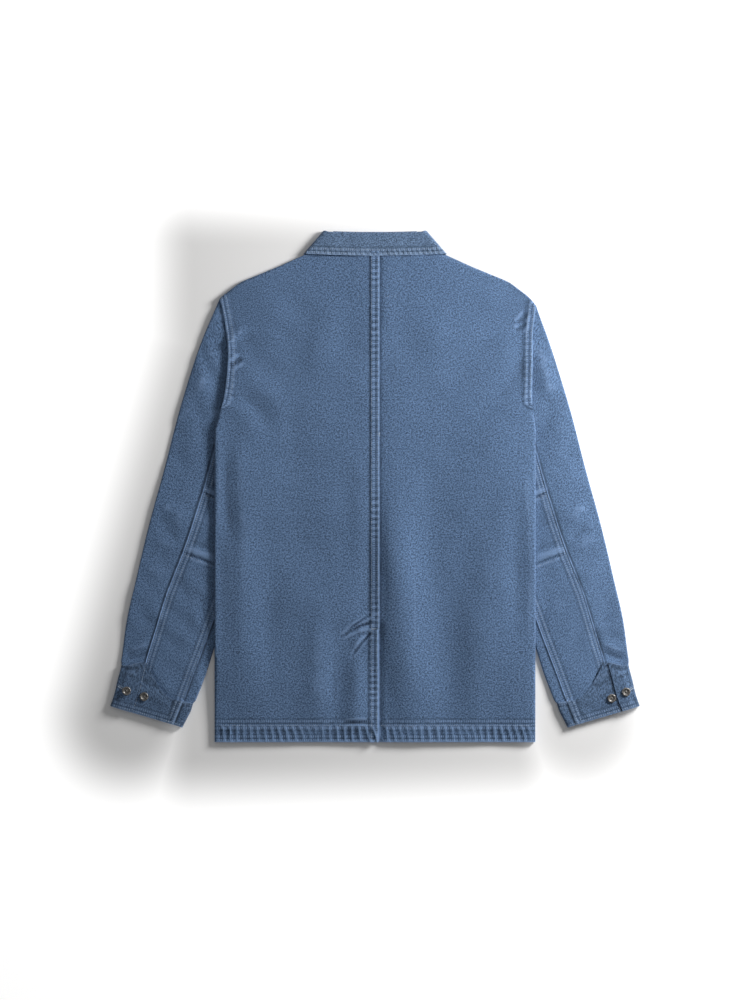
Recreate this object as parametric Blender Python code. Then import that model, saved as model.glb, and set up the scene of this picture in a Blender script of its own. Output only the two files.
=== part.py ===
"""A chore jacket of washed blue canvas, laid flat on its fronts with its back up.

+Z is up and +Y runs to the collar. The origin is on the surface that it lies on, below the middle of the
jacket's box. The wearer's left is at -X. Each piece of cloth is a grid on the piece's own shape, worked out
from the sizes below, with a wall of cloth under it. Where two layers meet along a fold, each one turns through
a quarter circle, and their edges meet halfway up.
"""

import math
from collections import namedtuple

import bmesh
import bpy
from mathutils import Vector

MM = 0.001

# Cloth
CLOTH = 1.1 * MM  # one layer of canvas
COLLAR_WALL = 2.0 * MM  # two layers and their interlining
CUFF_WALL = 1.8 * MM  # two layers, pressed
SEAM = 0.3 * MM  # gap between two pieces where they are sewn

# Body
BODY_HALF = 236 * MM  # centre back to the side fold
HEM_Y = -376 * MM
NECK_Y = 346 * MM  # edge of the back neck, under the collar
SEAM_X = 6.6 * MM  # edge of the centre back's felled strip, which belongs to the left back
STRIP_HALF = 8 * MM  # half of the felled strip over the seam
VENT_TOP_Y = -209 * MM
VENT_EDGE_X = 5 * MM  # edge of the left back in the vent, over the right one
VENT_UNDER_X = -25 * MM  # edge of the right back beneath
VENT_EASE = 14 * MM  # length of the dip that makes room for the lap
VENT_RUN = 4 * MM  # length in which the lap reaches its width
BODY_HEIGHT = 6.3 * MM  # front and back together where they lie on the surface
CENTRE_HEIGHT = 6.5 * MM  # over the lapped front edges
NECK_HEIGHT = 6.3 * MM  # under the collar
SLEEVE_ROOM = 5.4 * MM  # how far the body is lifted by the sleeve beneath it
LIFT_RUN = 20 * MM  # width of the slope up to it
SHOULDER_EASE = 0.3 * MM  # more gap in the fold of the shoulder, which turns two ways by the neck
FRONT_GAP = 4.0 * MM  # between a front and the sleeve that it meets

# Fronts
NECK_HALF = 92 * MM
FRONT_NECK_Y = 272 * MM
FRONT_LAP = 15 * MM  # each front runs past the centre by this
PLACKET_LIFT = 2.5 * MM  # room for the buttons
PLACKET_HALF = 21 * MM
PLACKET_FOOT_Y = -207 * MM  # below the last button the fronts lie flat
COLLAR_LIFT = 2.3 * MM  # room for the collar's ends
COLLAR_ZONE_Y = 178 * MM
COLLAR_ZONE_X = 122 * MM

# Sleeves
RIM = 2.3 * MM  # radius of a sleeve's folded edge
CUFF_RIM = 3.7 * MM
INSERT = 0.2  # length of sleeve inside the cuff, as a share of a station
CUFF_LAP = 2.1 * MM  # lift of the cuff's end that laps over the other

# Collar
ROLL_HALF = 71.5 * MM
ROLL_Y = 376 * MM
ROLL_DIP = 1.6 * MM  # the rolled edge is a little hollow
FALL_HALF = 101 * MM
FALL_Y = 339.3 * MM
FALL_TOP = 9.0 * MM
STAND_BASE = 1.6 * MM

# Buttons
BUTTON_D = 13 * MM
BUTTON_T = 2.2 * MM
FRONT_BUTTONS = 5
FRONT_BUTTON_TOP_Y = 245 * MM
FRONT_BUTTON_STEP = 95 * MM

# The shoulder line, from the collar out to the top of the sleeve, in mm.
Shoulder = namedtuple("Shoulder", "x y")
SHOULDER = (
    Shoulder(92, 346),
    Shoulder(101, 342),
    Shoulder(140, 324.5),
    Shoulder(170, 312),
    Shoulder(197, 300.5),
    Shoulder(213, 289),
    Shoulder(228, 277),
    Shoulder(238, 265),
)

# The back's outer edge, up the side fold and the armhole, in mm from the centre.
Edge = namedtuple("Edge", "y left right")
EDGES = (
    Edge(-376, 236, 236),
    Edge(60, 236, 236),
    Edge(85, 235, 236),
    Edge(121, 224, 231),
    Edge(150, 219, 231),
    Edge(190, 216, 232),
    Edge(220, 218, 232),
    Edge(252, 223, 235),
    Edge(277, 228, 239),
)

# Where a sleeve ends, under the back, in mm. It rises from the underarm at 0 to the shoulder at 1.
End = namedtuple("End", "rise y x")
ENDS = (
    End(0.0, 88, 182),
    End(0.1, 100, 198),
    End(0.22, 122, 207),
    End(0.4, 155, 210),
    End(0.65, 205, 208),
    End(0.88, 250, 211),
    End(1.0, 277, 228),
)

# The body's lift over the sleeve: it is lifted from x outwards, in mm.
Lift = namedtuple("Lift", "y x")
LIFTS = (
    Lift(-262, 262),
    Lift(-246, 238),
    Lift(-232, 212),
    Lift(-195, 190),
    Lift(-130, 163),
    Lift(94, 163),
    Lift(106, 176),
    Lift(118, 186),
    Lift(134, 252),
)

# A sleeve's stations from the armhole to its end, in mm: its two folded edges, its two seams as shares of the
# width from the outer edge, the height of its crown and the share of the width that the body leaves clear.
Station = namedtuple("Station", "outer_x outer_y inner_x inner_y elbow under crown clear")
STATIONS = (
    Station(228, 277, 182, 88, 0.77, 0.95, 0.0, 0.40),
    Station(258, 206, 178, 50, 0.53, 0.93, 0.7, 0.30),
    Station(286, 118, 176, -8, 0.47, 0.92, 1.5, 0.40),
    Station(310, 26, 180, -72, 0.42, 0.91, 1.5, 0.52),
    Station(333, -58, 200, -138, 0.40, 0.91, 1.5, 0.66),
    Station(352, -138, 218, -188, 0.345, 0.90, 1.5, 0.80),
    Station(365, -195, 235, -233, 0.33, 0.90, 1.5, 0.95),
    Station(373, -252, 249, -277, 0.28, 0.87, 1.5, 1.0),
    Station(382, -299, 266, -320, 0.25, 0.87, 1.5, 1.0),
    Station(389.5, -323, 283.5, -355, 0.27, 0.90, 1.5, 1.0),
)
LAST = len(STATIONS) - 1

# Top edge of a cuff, as stations, round the sleeve from its outer edge.
CUFF_OUTER = 7.2
CUFF_VENT = 7.0
CUFF_INNER = 8.0
VENT_OVER = {-1: 0.26, 1: 0.22}  # share of the width at which each cuff's upper end stops
VENT_UNDER = 0.1  # and where its under end stops
CuffButton = namedtuple("CuffButton", "side x y part")
CUFF_BUTTONS = (
    CuffButton(-1, -365, -300.5, "outer"),
    CuffButton(-1, -339.5, -309, "inner"),
    CuffButton(1, 369, -302, "outer"),
    CuffButton(1, 348, -311.5, "inner"),
)

# The collar's ends on the fronts, from the side of the neck to the centre front, in mm.
Leaf = namedtuple("Leaf", "roll_x roll_y edge_x edge_y")
LEAVES = (
    Leaf(71.5, 376, 101, 342),
    Leaf(72, 346, 106, 306),
    Leaf(62, 312, 98, 264),
    Leaf(40, 287, 82, 238),
    Leaf(8, 276, 62, 222),
)

FINISHES = {
    "back": ((0.078, 0.140, 0.250), 0.9, 0.0),
    "front": ((0.074, 0.132, 0.238), 0.9, 0.0),
    "sleeve": ((0.088, 0.158, 0.278), 0.9, 0.0),
    "collar": ((0.090, 0.150, 0.250), 0.9, 0.0),
    "cuff": ((0.072, 0.125, 0.225), 0.9, 0.0),
    "button": ((0.115, 0.105, 0.095), 0.45, 0.9),
}


def clear_scene():
    for thing in list(bpy.data.objects):
        bpy.data.objects.remove(thing)


def finish(slot):
    """The material of a slot, made once."""
    if slot in bpy.data.materials:
        return bpy.data.materials[slot]
    colour, roughness, metallic = FINISHES[slot]
    material = bpy.data.materials.new(slot)
    material.use_nodes = True
    shader = material.node_tree.nodes["Principled BSDF"]
    shader.inputs["Base Color"].default_value = (*colour, 1.0)
    shader.inputs["Roughness"].default_value = roughness
    shader.inputs["Metallic"].default_value = metallic
    return material


def ease(share):
    """0 to 1 with a soft start and a soft end."""
    share = min(max(share, 0.0), 1.0)
    return share * share * (3 - 2 * share)


def curve(keys, values, place):
    """The value at a place on a smooth curve through the values, flat beyond its ends."""
    if place <= keys[0]:
        return values[0]
    if place >= keys[-1]:
        return values[-1]
    at = next(i for i in range(len(keys) - 1) if place <= keys[i + 1])

    def slope(i):
        before, after = max(i - 1, 0), min(i + 1, len(keys) - 1)
        return (values[after] - values[before]) / (keys[after] - keys[before])

    span = keys[at + 1] - keys[at]
    t = (place - keys[at]) / span
    start, end = values[at], values[at + 1]
    rise = end - start
    first, last = slope(at) * span, slope(at + 1) * span
    return start + t * (first + t * ((3 * rise - 2 * first - last) + t * (first + last - 2 * rise)))


def column(rows, key, name, place):
    """A table's column, read at a place along its key, both in metres."""
    return curve([getattr(row, key) * MM for row in rows], [getattr(row, name) * MM for row in rows], place)


def station(name, place):
    """A sleeve column at a place along the stations."""
    return curve(range(len(STATIONS)), [getattr(row, name) for row in STATIONS], place)


def bend(radius, angle, curl):
    """How far a strip reaches and drops after an arc, from flat at curl 0 to round at curl 1."""
    if curl < 0.02:
        return radius * angle, 0.0
    return radius / curl * math.sin(curl * angle), radius / curl * (1 - math.cos(curl * angle))


def wall(name, slot, columns, rows, surface, thickness, flip=False):
    """A closed wall of cloth: a grid whose points lie on the surface, thickened inwards."""
    mesh = bpy.data.meshes.new(name)
    bm = bmesh.new()
    across, along = len(columns) - 1, len(rows) - 1
    bmesh.ops.create_grid(bm, x_segments=across, y_segments=along, size=1)
    for vert in bm.verts:
        i = round((vert.co.x + 1) / 2 * across)
        j = round((vert.co.y + 1) / 2 * along)
        vert.co = surface(columns[i], rows[j])
    if flip:
        bmesh.ops.reverse_faces(bm, faces=bm.faces)
    bm.to_mesh(mesh)
    bm.free()
    piece = bpy.data.objects.new(name, mesh)
    bpy.context.scene.collection.objects.link(piece)
    mesh.materials.append(finish(slot))
    solid = piece.modifiers.new("Cloth wall", "SOLIDIFY")
    solid.offset = -1
    solid.thickness = thickness
    mesh.shade_smooth()
    mesh.set_sharp_from_angle(angle=math.radians(50))
    return piece


def shares(count, first=0.0, last=1.0):
    return [first + (last - first) * i / count for i in range(count + 1)]


QUARTER = (math.pi / 6, math.pi / 3, math.pi / 2)
LAST_TILT = math.sin(QUARTER[0] / 2)  # slope of a wall's end after a quarter turn in equal steps


def edged(flat):
    """Grid lines over a flat stretch and then through a quarter turn."""
    return [(share, 0.0) for share in flat] + [(flat[-1], angle) for angle in QUARTER]


def turn_radius(height, thickness):
    """The radius at which two walls turn to meet each other, a seam apart, in a fold of this height."""
    return (height - SEAM - 2 * thickness * LAST_TILT) / 2


# The body


def shoulder_y(x):
    return column(SHOULDER, "x", "y", abs(x))


def edge_x(side, y):
    return column(EDGES, "y", "left" if side < 0 else "right", y)


def corner(side):
    """The top of the armhole, where it meets the shoulder line."""
    x = edge_x(side, 0.277 if side < 0 else 0.265)
    return x, shoulder_y(x)


def over_sleeve(x, y):
    """How high the body lies over the part of a sleeve that is tucked beneath it."""
    return SLEEVE_ROOM * ease((abs(x) - column(LIFTS, "y", "x", y) + LIFT_RUN) / LIFT_RUN)


def low_height(x, y):
    """Underside of the fronts."""
    placket = PLACKET_LIFT * (1 - ease((abs(x) - PLACKET_HALF) / (14 * MM)))
    placket *= ease((y - PLACKET_FOOT_Y) / (12 * MM))
    by_x = 1 - ease((abs(x) - COLLAR_ZONE_X) / (16 * MM))
    collar = COLLAR_LIFT * by_x * ease((y - COLLAR_ZONE_Y) / (12 * MM))
    return max(over_sleeve(x, y), placket, collar)


def top_height(side, x, y):
    """Upper face of the back."""
    edge = edge_x(side, y)
    outward = ease((abs(x) - 105 * MM) / (edge - 20 * MM - 105 * MM))
    height = BODY_HEIGHT + over_sleeve(edge, y) * outward
    height += (CENTRE_HEIGHT - BODY_HEIGHT) * (1 - ease((abs(x) - 24 * MM) / (20 * MM)))
    by_neck = ease((y - 312 * MM) / (20 * MM)) * (1 - ease((abs(x) - 108 * MM) / (24 * MM)))
    return height + (NECK_HEIGHT - BODY_HEIGHT) * by_neck


def side_curl(y):
    """The side is folded up to the armhole, and the armhole's edge is flat."""
    return ease((118 * MM - y) / (34 * MM))


def shoulder_curl(x):
    return ease((abs(x) - 93 * MM) / (9 * MM))


def panel_y(share, top):
    """Rows are straight over most of the body and follow the shoulder at the top."""
    return HEM_Y + (NECK_Y - HEM_Y) * share + (top - NECK_Y) * share**7


def body_point(side, col, row, inner_x, edge_of, top_of, height, upper):
    """A point of a body panel. inner_x and edge_of give its two edges at a height, top_of its top edge.

    A column's share runs from 0 at the inner edge to 1 beside the centre strip, 2 at the side of the neck and
    3 at the outer edge.
    """
    (share, side_angle), (along, top_angle) = col, row
    edge_y = panel_y(along, corner(side)[1])
    curl = side_curl(edge_y)
    outer = edge_of(edge_y)
    radius = turn_radius(top_height(side, outer, edge_y) - low_height(outer, edge_y), CLOTH)
    reach, _ = bend(radius, math.pi / 2, curl)
    inner = inner_x(panel_y(along, NECK_Y))
    over, drop = bend(radius, side_angle, curl)
    lines = (inner, STRIP_HALF, NECK_HALF, outer - reach)
    at = min(int(share), 2)
    x = side * (lines[at] + (lines[at + 1] - lines[at]) * (share - at) + over)
    top = top_of(x)
    top_curl = shoulder_curl(x)
    top_radius = turn_radius(top_height(side, x, top) - low_height(x, top) - SHOULDER_EASE, CLOTH)
    top_reach, _ = bend(top_radius, math.pi / 2, top_curl)
    up, top_drop = bend(top_radius, top_angle, top_curl)
    y = panel_y(along, top - top_reach) + up
    turned = drop + top_drop
    return Vector((x, y, height(x, y) - turned if upper else height(x, y) + turned))


def back_inner(side):
    """The back's edge at the centre, with the vent's lap."""

    def at(y):
        lapped = ease((VENT_TOP_Y - y) / VENT_RUN)
        if side < 0:
            return -(SEAM_X - SEAM / 2 + (VENT_EDGE_X - SEAM_X + SEAM / 2) * lapped)
        return SEAM_X + SEAM / 2 + (VENT_UNDER_X - SEAM_X - SEAM / 2) * lapped

    return at


def back_height(side):
    def at(x, y):
        height = top_height(side, x, y)
        if side > 0:
            near = 1 - ease((x - STRIP_HALF) / (8 * MM))
            height -= (CLOTH + SEAM + 0.1 * MM) * near * ease((VENT_TOP_Y + VENT_EASE - y) / VENT_EASE)
        return height

    return at


# Rows of the body panels up the centre back, in mm: closer at the hem, at the vent and below the armhole.
BODY_ROWS = (-376, -300, -262, -246, -232, -213, -209, -195, -130, 30, 94, 106, 118, 134, 190, 250, 300, 346)
OUTER_COLUMNS = (2.0, 2.07, 2.15, 2.34, 2.5, 2.7, 2.85, 3.0)  # from the side of the neck outwards


def body_rows():
    return edged([(row * MM - HEM_Y) / (NECK_Y - HEM_Y) for row in BODY_ROWS])


def make_back(side, name):
    columns = edged((0.0, 1.0, 1.1, 1.2, 1.45) + OUTER_COLUMNS)

    def surface(col, row):
        return body_point(
            side, col, row, back_inner(side), lambda y: edge_x(side, y), shoulder_y, back_height(side), upper=True,
        )

    return wall(name, "back", columns, body_rows(), surface, CLOTH, flip=side < 0)


def front_top(x):
    """The front's top edge: the neckline, then the shoulder."""
    share = min(abs(x) / NECK_HALF, 1.0)
    if share < 1.0:
        return FRONT_NECK_Y + (NECK_Y - FRONT_NECK_Y) * (1 - math.sqrt(1 - share * share))
    return shoulder_y(x)


def out_to_corner(side, x, y):
    """The sleeve's end, drawn out to the corner of the armhole at its top."""
    corner_x, corner_y = corner(side)
    return x + (corner_x - x) * ease((y - corner_y + 26 * MM) / (26 * MM))


def front_edge(side):
    """The front's outer edge: it stops at the sleeve in the armhole and runs to the fold below it."""

    def at(y):
        in_armhole = 1 - ease((112 * MM - y) / (24 * MM))
        edge = edge_x(side, y)
        inside = out_to_corner(side, column(ENDS, "y", "x", y), y) - FRONT_GAP
        return edge + (inside - edge) * in_armhole

    return at


def front_height(side):
    """The left front is the outer one at the centre, so the right front lies over it."""

    def at(x, y):
        height = low_height(x, y)
        if side > 0:
            height += (CLOTH + SEAM) * (1 - ease((x - FRONT_LAP - 2 * MM) / (10 * MM)))
        return height

    return at


def make_front(side, name):
    columns = edged((0.0, 1.0, 1.13, 1.24, 1.33, 1.65) + OUTER_COLUMNS)

    def surface(col, row):
        return body_point(
            side, col, row, lambda y: -FRONT_LAP, front_edge(side), front_top, front_height(side), upper=False,
        )

    return wall(name, "front", columns, body_rows(), surface, CLOTH, flip=side > 0)


# The sleeves


def sleeve_end(side, share):
    """A point of the sleeve's end, at a share of the way from the shoulder to the underarm."""
    keys = [row.rise for row in ENDS]
    x = curve(keys, [row.x * MM for row in ENDS], 1 - share)
    y = curve(keys, [row.y * MM for row in ENDS], 1 - share)
    y = min(y, corner(side)[1])
    return Vector((out_to_corner(side, x, y) + SEAM, y))


def sleeve_plan(side, place, share):
    """A point on the surface under the sleeve, at a share of its width from the outer edge."""
    outer = Vector((station("outer_x", place), station("outer_y", place))) * MM
    inner = Vector((station("inner_x", place), station("inner_y", place))) * MM
    first = STATIONS[0]
    top = Vector((first.outer_x, first.outer_y)) * MM
    under = Vector((first.inner_x, first.inner_y)) * MM
    fade = max(0.0, 1 - place / 1.6) ** 2
    point = outer.lerp(inner, share) + fade * (sleeve_end(side, share) - top.lerp(under, share))
    return Vector((side * point.x, point.y))


def sleeve_width(place):
    outer = Vector((station("outer_x", place), station("outer_y", place))) * MM
    inner = Vector((station("inner_x", place), station("inner_y", place))) * MM
    return (inner - outer).length


def crown(place, share):
    """Height of the upper layer over its folded edges."""
    clear = station("clear", place)
    if share >= clear:
        return 0.0
    return station("crown", place) * MM * math.sin(math.pi * share / clear)


def edge_shift(side, place, share, inset):
    """From a point of the sleeve's edge, a step of this length inwards, square to the edge."""
    step = 0.04
    low, high = max(place - step, 0.0), min(place + step, LAST)
    tangent = sleeve_plan(side, high, share) - sleeve_plan(side, low, share)
    square = Vector((-tangent.y, tangent.x)).normalized()
    middle = sleeve_plan(side, place, 0.5) - sleeve_plan(side, place, share)
    square *= 1 if square.dot(middle) > 0 else -1
    along_end = sleeve_plan(side, place, 0.9 * share + 0.05) - sleeve_plan(side, place, share)
    return square.lerp(along_end.normalized(), max(0.0, 1 - place / 0.6)) * inset


def ring(side, place, span, share, rim, base, inset, swell):
    """A point round a flattened tube: over the top, round a folded edge or along the bottom."""
    turn = math.pi * share
    if span in ("top", "bottom"):
        near, far = (edge_shift(side, place, edge, rim + inset) for edge in (0.0, 1.0))
        spot = sleeve_plan(side, place, share) + near * (1 - share) + far * share
        height = base + 2 * rim + swell * crown(place, share) if span == "top" else base
    else:
        edge = 0.0 if span == "outer" else 1.0
        spot = sleeve_plan(side, place, edge) + edge_shift(side, place, edge, inset + rim * (1 - math.sin(turn)))
        height = base + rim + rim * math.cos(turn) * (1 if span == "outer" else -1)
    return Vector((spot.x, spot.y, height))


def cuff_top(span, share):
    """Where the cuff is sewn to the sleeve, round the sleeve."""
    if span == "outer":
        return CUFF_OUTER
    if span == "inner":
        return CUFF_INNER
    if span == "bottom":
        return CUFF_OUTER + (CUFF_INNER - CUFF_OUTER) * ease(share)
    vent = STATIONS[7].elbow
    if share < vent:
        return CUFF_OUTER + (CUFF_VENT - CUFF_OUTER) * ease(share / vent)
    return CUFF_VENT + (CUFF_INNER - CUFF_VENT) * math.sin(min((share - vent) / 0.55, 1.0) * math.pi / 2)


def sleeve_point(side, col, along):
    """A point on a sleeve panel, which runs into its cuff."""
    span, share = col
    end = cuff_top(span, min(share, 1.0) if not callable(share) else share(LAST - 1)) + INSERT
    place = along * end
    share = share(place) if callable(share) else share
    inside = ease((place - (end - INSERT - 0.28)) / 0.2)
    rim = RIM + (CUFF_RIM - CUFF_WALL - SEAM - RIM) * inside
    base = (CUFF_WALL + SEAM) * inside
    inset = (CUFF_WALL + SEAM) * inside
    return ring(side, place, span, share, rim, base, inset, 1 - inside)


def seam_share(name, shift):
    """A seam's share of the width at a place, moved across by a distance."""

    def at(place):
        return station(name, place) + shift / sleeve_width(place)

    return at


def between(first, last, share):
    """A share of the way from one line to another, each a number or a seam."""

    def at(place):
        start = first(place) if callable(first) else first
        end = last(place) if callable(last) else last
        return start + (end - start) * share

    return at


SLEEVE_ROWS = (0.0, 0.04, 0.1, 0.18, 0.28, 0.38, 0.48, 0.58, 0.68, 0.78, 0.87, 0.935, 0.96, 0.98, 1.0)


def make_top_sleeve(side, name):
    elbow = seam_share("elbow", -SEAM / 2)
    under = seam_share("under", SEAM / 2)
    columns = [("top", between(elbow, 0.0, share)) for share in shares(3)[:-1]]
    columns += [("outer", share) for share in shares(4)[:-1]]
    columns += [("bottom", share) for share in (0.0, 0.13, 0.4, 0.7)]
    columns += [("inner", share) for share in shares(4)[:-1]]
    columns += [("top", between(1.0, under, share)) for share in (0.0, 1.0)]
    return wall(
        name, "sleeve", columns, SLEEVE_ROWS, lambda col, row: sleeve_point(side, col, row), CLOTH, flip=side > 0,
    )


def make_under_sleeve(side, name):
    elbow = seam_share("elbow", SEAM / 2)
    under = seam_share("under", -SEAM / 2)
    columns = [("top", between(elbow, under, share)) for share in shares(2)]
    return wall(
        name, "sleeve", columns, SLEEVE_ROWS, lambda col, row: sleeve_point(side, col, row), CLOTH, flip=side < 0,
    )


def make_cuff(side, name):
    """One band round the wrist. Its outer end laps over its inner end at the vent."""
    columns = [("over", share) for share in (VENT_OVER[side], VENT_UNDER + 0.01, 0.07, 0.0)]
    columns += [("outer", share) for share in shares(5)[1:-1]]
    columns += [("bottom", share) for share in shares(3)]
    columns += [("inner", share) for share in shares(5)[1:-1]]
    columns += [("top", share) for share in (1.0, 0.85, 0.68, 0.5, 0.38, VENT_OVER[side], VENT_UNDER)]

    def surface(col, along):
        span, share = col
        lapped = span == "over"
        span = "top" if lapped else span
        start = cuff_top(span, share)
        place = start + (LAST - start) * along
        spot = ring(side, place, span, share, CUFF_RIM, 0.0, 0.0, 0.0)
        if lapped:
            spot.z += CUFF_LAP * ease((share - 0.01) / 0.07)
        return spot

    return wall(name, "cuff", columns, shares(3), surface, CUFF_WALL, flip=side > 0)


# The collar


def make_fall():
    """The collar's leaf: over the back neck, folded at each side, and out to its points on the fronts."""
    ends = list(range(len(LEAVES)))
    fold = shares(5)[1:-1]
    columns = [("leaf", -1, place) for place in reversed(ends)]
    columns += [("fold", -1, share) for share in fold]
    columns += [("back", 0, share) for share in (-1.0, -0.9, -0.78, -0.4, 0.0, 0.4, 0.78, 0.9, 1.0)]
    columns += [("fold", 1, share) for share in reversed(fold)]
    columns += [("leaf", 1, place) for place in ends]
    rows = edged(shares(3, 1.0, 0.0))
    half = FALL_TOP / 2
    radius = turn_radius(FALL_TOP - STAND_BASE, COLLAR_WALL)

    def surface(col, row):
        kind, side, at = col
        share, angle = row
        first = LEAVES[0]
        if kind == "back":
            curl = 1 - ease((abs(at) - 0.8) / 0.2)
            reach, _ = bend(radius, math.pi / 2, curl)
            up, drop = bend(radius, angle, curl)
            roll = Vector((ROLL_HALF * at, ROLL_Y - ROLL_DIP * (1 - at * at) - reach))
            edge = Vector((FALL_HALF * at, FALL_Y + 2.7 * MM * at * at))
            spot = roll.lerp(edge, share) + (roll - edge).normalized() * up
            return Vector((spot.x, spot.y, FALL_TOP - drop))
        row_at = first if kind == "fold" else LEAVES[at]
        reach, _ = bend(radius, math.pi / 2, 0.0)
        up, _ = bend(radius, angle, 0.0)
        roll = Vector((row_at.roll_x, row_at.roll_y)) * MM
        edge = Vector((row_at.edge_x, row_at.edge_y)) * MM
        along = (roll - edge).normalized()
        spot = (roll - along * reach).lerp(edge, share) + along * up
        height = 0.0
        if kind == "fold":
            spot.x += half * math.sin(math.pi * at)
            height = half - half * math.cos(math.pi * at)
        return Vector((side * spot.x, spot.y, height))

    return wall("collar_fall", "collar", columns, rows, surface, COLLAR_WALL)


def make_stand():
    """The part of the collar under the roll, sewn to the back neck."""
    radius = turn_radius(FALL_TOP - STAND_BASE, COLLAR_WALL)
    columns = shares(8, -0.86, 0.86)
    rows = edged(shares(2))

    def surface(at, row):
        share, angle = row
        curl = 1 - ease((abs(at) - 0.8) / 0.2)
        up, drop = bend(radius, angle, curl)
        reach, _ = bend(radius, math.pi / 2, curl)
        roll = ROLL_Y - ROLL_DIP * (1 - at * at) - reach
        seam = NECK_Y + SEAM
        return Vector((ROLL_HALF * at, seam + (roll - seam) * share + up, STAND_BASE + drop))

    return wall("collar_stand", "collar", columns, rows, surface, COLLAR_WALL, flip=True)


# The buttons


def make_button(name, spot, facing):
    """A turned metal button: a rolled rim round a dish with a rivet, seen from its face."""
    radius, thickness = BUTTON_D / 2, BUTTON_T
    profile = (
        (0.0, 0.0),
        (0.86, 0.0),
        (1.0, 0.35),
        (1.0, 0.7),
        (0.86, 1.0),
        (0.68, 0.95),
        (0.56, 0.5),
        (0.3, 0.45),
        (0.22, 0.8),
        (0.0, 0.9),
    )
    mesh = bpy.data.meshes.new(name)
    bm = bmesh.new()
    verts = [bm.verts.new((out * radius, 0.0, up * thickness)) for out, up in profile]
    edges = [bm.edges.new(pair) for pair in zip(verts, verts[1:])]
    bmesh.ops.spin(
        bm, geom=verts + edges, cent=(0, 0, 0), axis=(0, 0, 1), angle=2 * math.pi, steps=12, use_merge=True,
    )
    bmesh.ops.remove_doubles(bm, verts=bm.verts, dist=0.01 * MM)
    bmesh.ops.recalc_face_normals(bm, faces=bm.faces)
    bm.to_mesh(mesh)
    bm.free()
    mesh.materials.append(finish("button"))
    mesh.shade_smooth()
    mesh.set_sharp_from_angle(angle=math.radians(40))
    button = bpy.data.objects.new(name, mesh)
    bpy.context.scene.collection.objects.link(button)
    button.location = spot
    if facing < 0:
        button.rotation_euler = (math.pi, 0, 0)
    return button


def make_cuff_buttons():
    for row in CUFF_BUTTONS:
        base = 2 * CUFF_RIM + (CUFF_LAP if row.part == "outer" else 0.0) + SEAM
        label = "left" if row.side < 0 else "right"
        make_button(f"cuff_button_{label}_{row.part}", (row.x * MM, row.y * MM, base), 1)


def main():
    clear_scene()
    for side, name in ((-1, "left"), (1, "right")):
        make_back(side, f"back_{name}")
        make_front(side, f"front_{name}")
        make_top_sleeve(side, f"top_sleeve_{name}")
        make_under_sleeve(side, f"under_sleeve_{name}")
        make_cuff(side, f"cuff_{name}")
    make_cuff_buttons()
    make_fall()
    make_stand()
    for number in range(FRONT_BUTTONS):
        y = FRONT_BUTTON_TOP_Y - number * FRONT_BUTTON_STEP
        make_button(f"front_button_{number + 1}", (0, y, BUTTON_T), -1)


main()
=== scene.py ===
# %% [markdown]
# # A chore jacket, laid flat
#
# A washed blue canvas jacket lies on its fronts with its back up. Each piece of cloth is a grid of points
# laid over a shape worked out from named sizes. It is given its folds and seams, and then thickened
# into a thin shell. Cloth simulation would give folds too, but these lie where they are wanted, and stay
# the same.

# %% The imported frame
import math
from collections import namedtuple
from functools import lru_cache

import bmesh
import bpy
import numpy as np
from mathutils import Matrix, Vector
from mathutils.bvhtree import BVHTree


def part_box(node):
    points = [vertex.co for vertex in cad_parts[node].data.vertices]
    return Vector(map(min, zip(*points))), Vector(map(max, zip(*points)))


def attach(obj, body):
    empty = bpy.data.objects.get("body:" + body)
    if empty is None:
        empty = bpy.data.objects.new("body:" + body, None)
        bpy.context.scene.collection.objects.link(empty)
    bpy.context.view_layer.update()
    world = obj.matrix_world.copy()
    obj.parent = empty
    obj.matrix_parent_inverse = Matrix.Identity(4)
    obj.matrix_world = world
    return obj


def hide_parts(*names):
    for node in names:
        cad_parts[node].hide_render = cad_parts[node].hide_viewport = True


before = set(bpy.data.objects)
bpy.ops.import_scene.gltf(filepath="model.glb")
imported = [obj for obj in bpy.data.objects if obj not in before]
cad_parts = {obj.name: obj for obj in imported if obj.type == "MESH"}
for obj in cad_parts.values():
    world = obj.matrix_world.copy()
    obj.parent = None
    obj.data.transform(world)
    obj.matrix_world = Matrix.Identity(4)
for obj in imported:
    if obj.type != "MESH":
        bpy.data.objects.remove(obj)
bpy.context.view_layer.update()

# %% [markdown]
# ## Sizes
#
# The jacket is measured in millimetres from the middle of its outline. Tables hold the lines that curve:
# the shoulder, the body's edge, the sleeve's stations. They could be Bezier curves in the scene, but a
# table reads like a pattern cutter's list, and every function below can use it.

# %% Sizes
MM = 0.001
SIDES = ((-1, "left"), (1, "right"))
# Cloth
CLOTH = 1.1 * MM  # one layer of canvas
COLLAR_WALL = 2.0 * MM  # two layers and their interlining
CUFF_WALL = 1.8 * MM  # two layers, pressed
SHELL = 0.9 * MM  # of one layer that is shown, a little inside the CAD's wall
CUFF_SHELL = 1.5 * MM
COLLAR_SHELL = 1.7 * MM
SEAM = 0.3 * MM  # gap between two pieces where they are sewn
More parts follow.
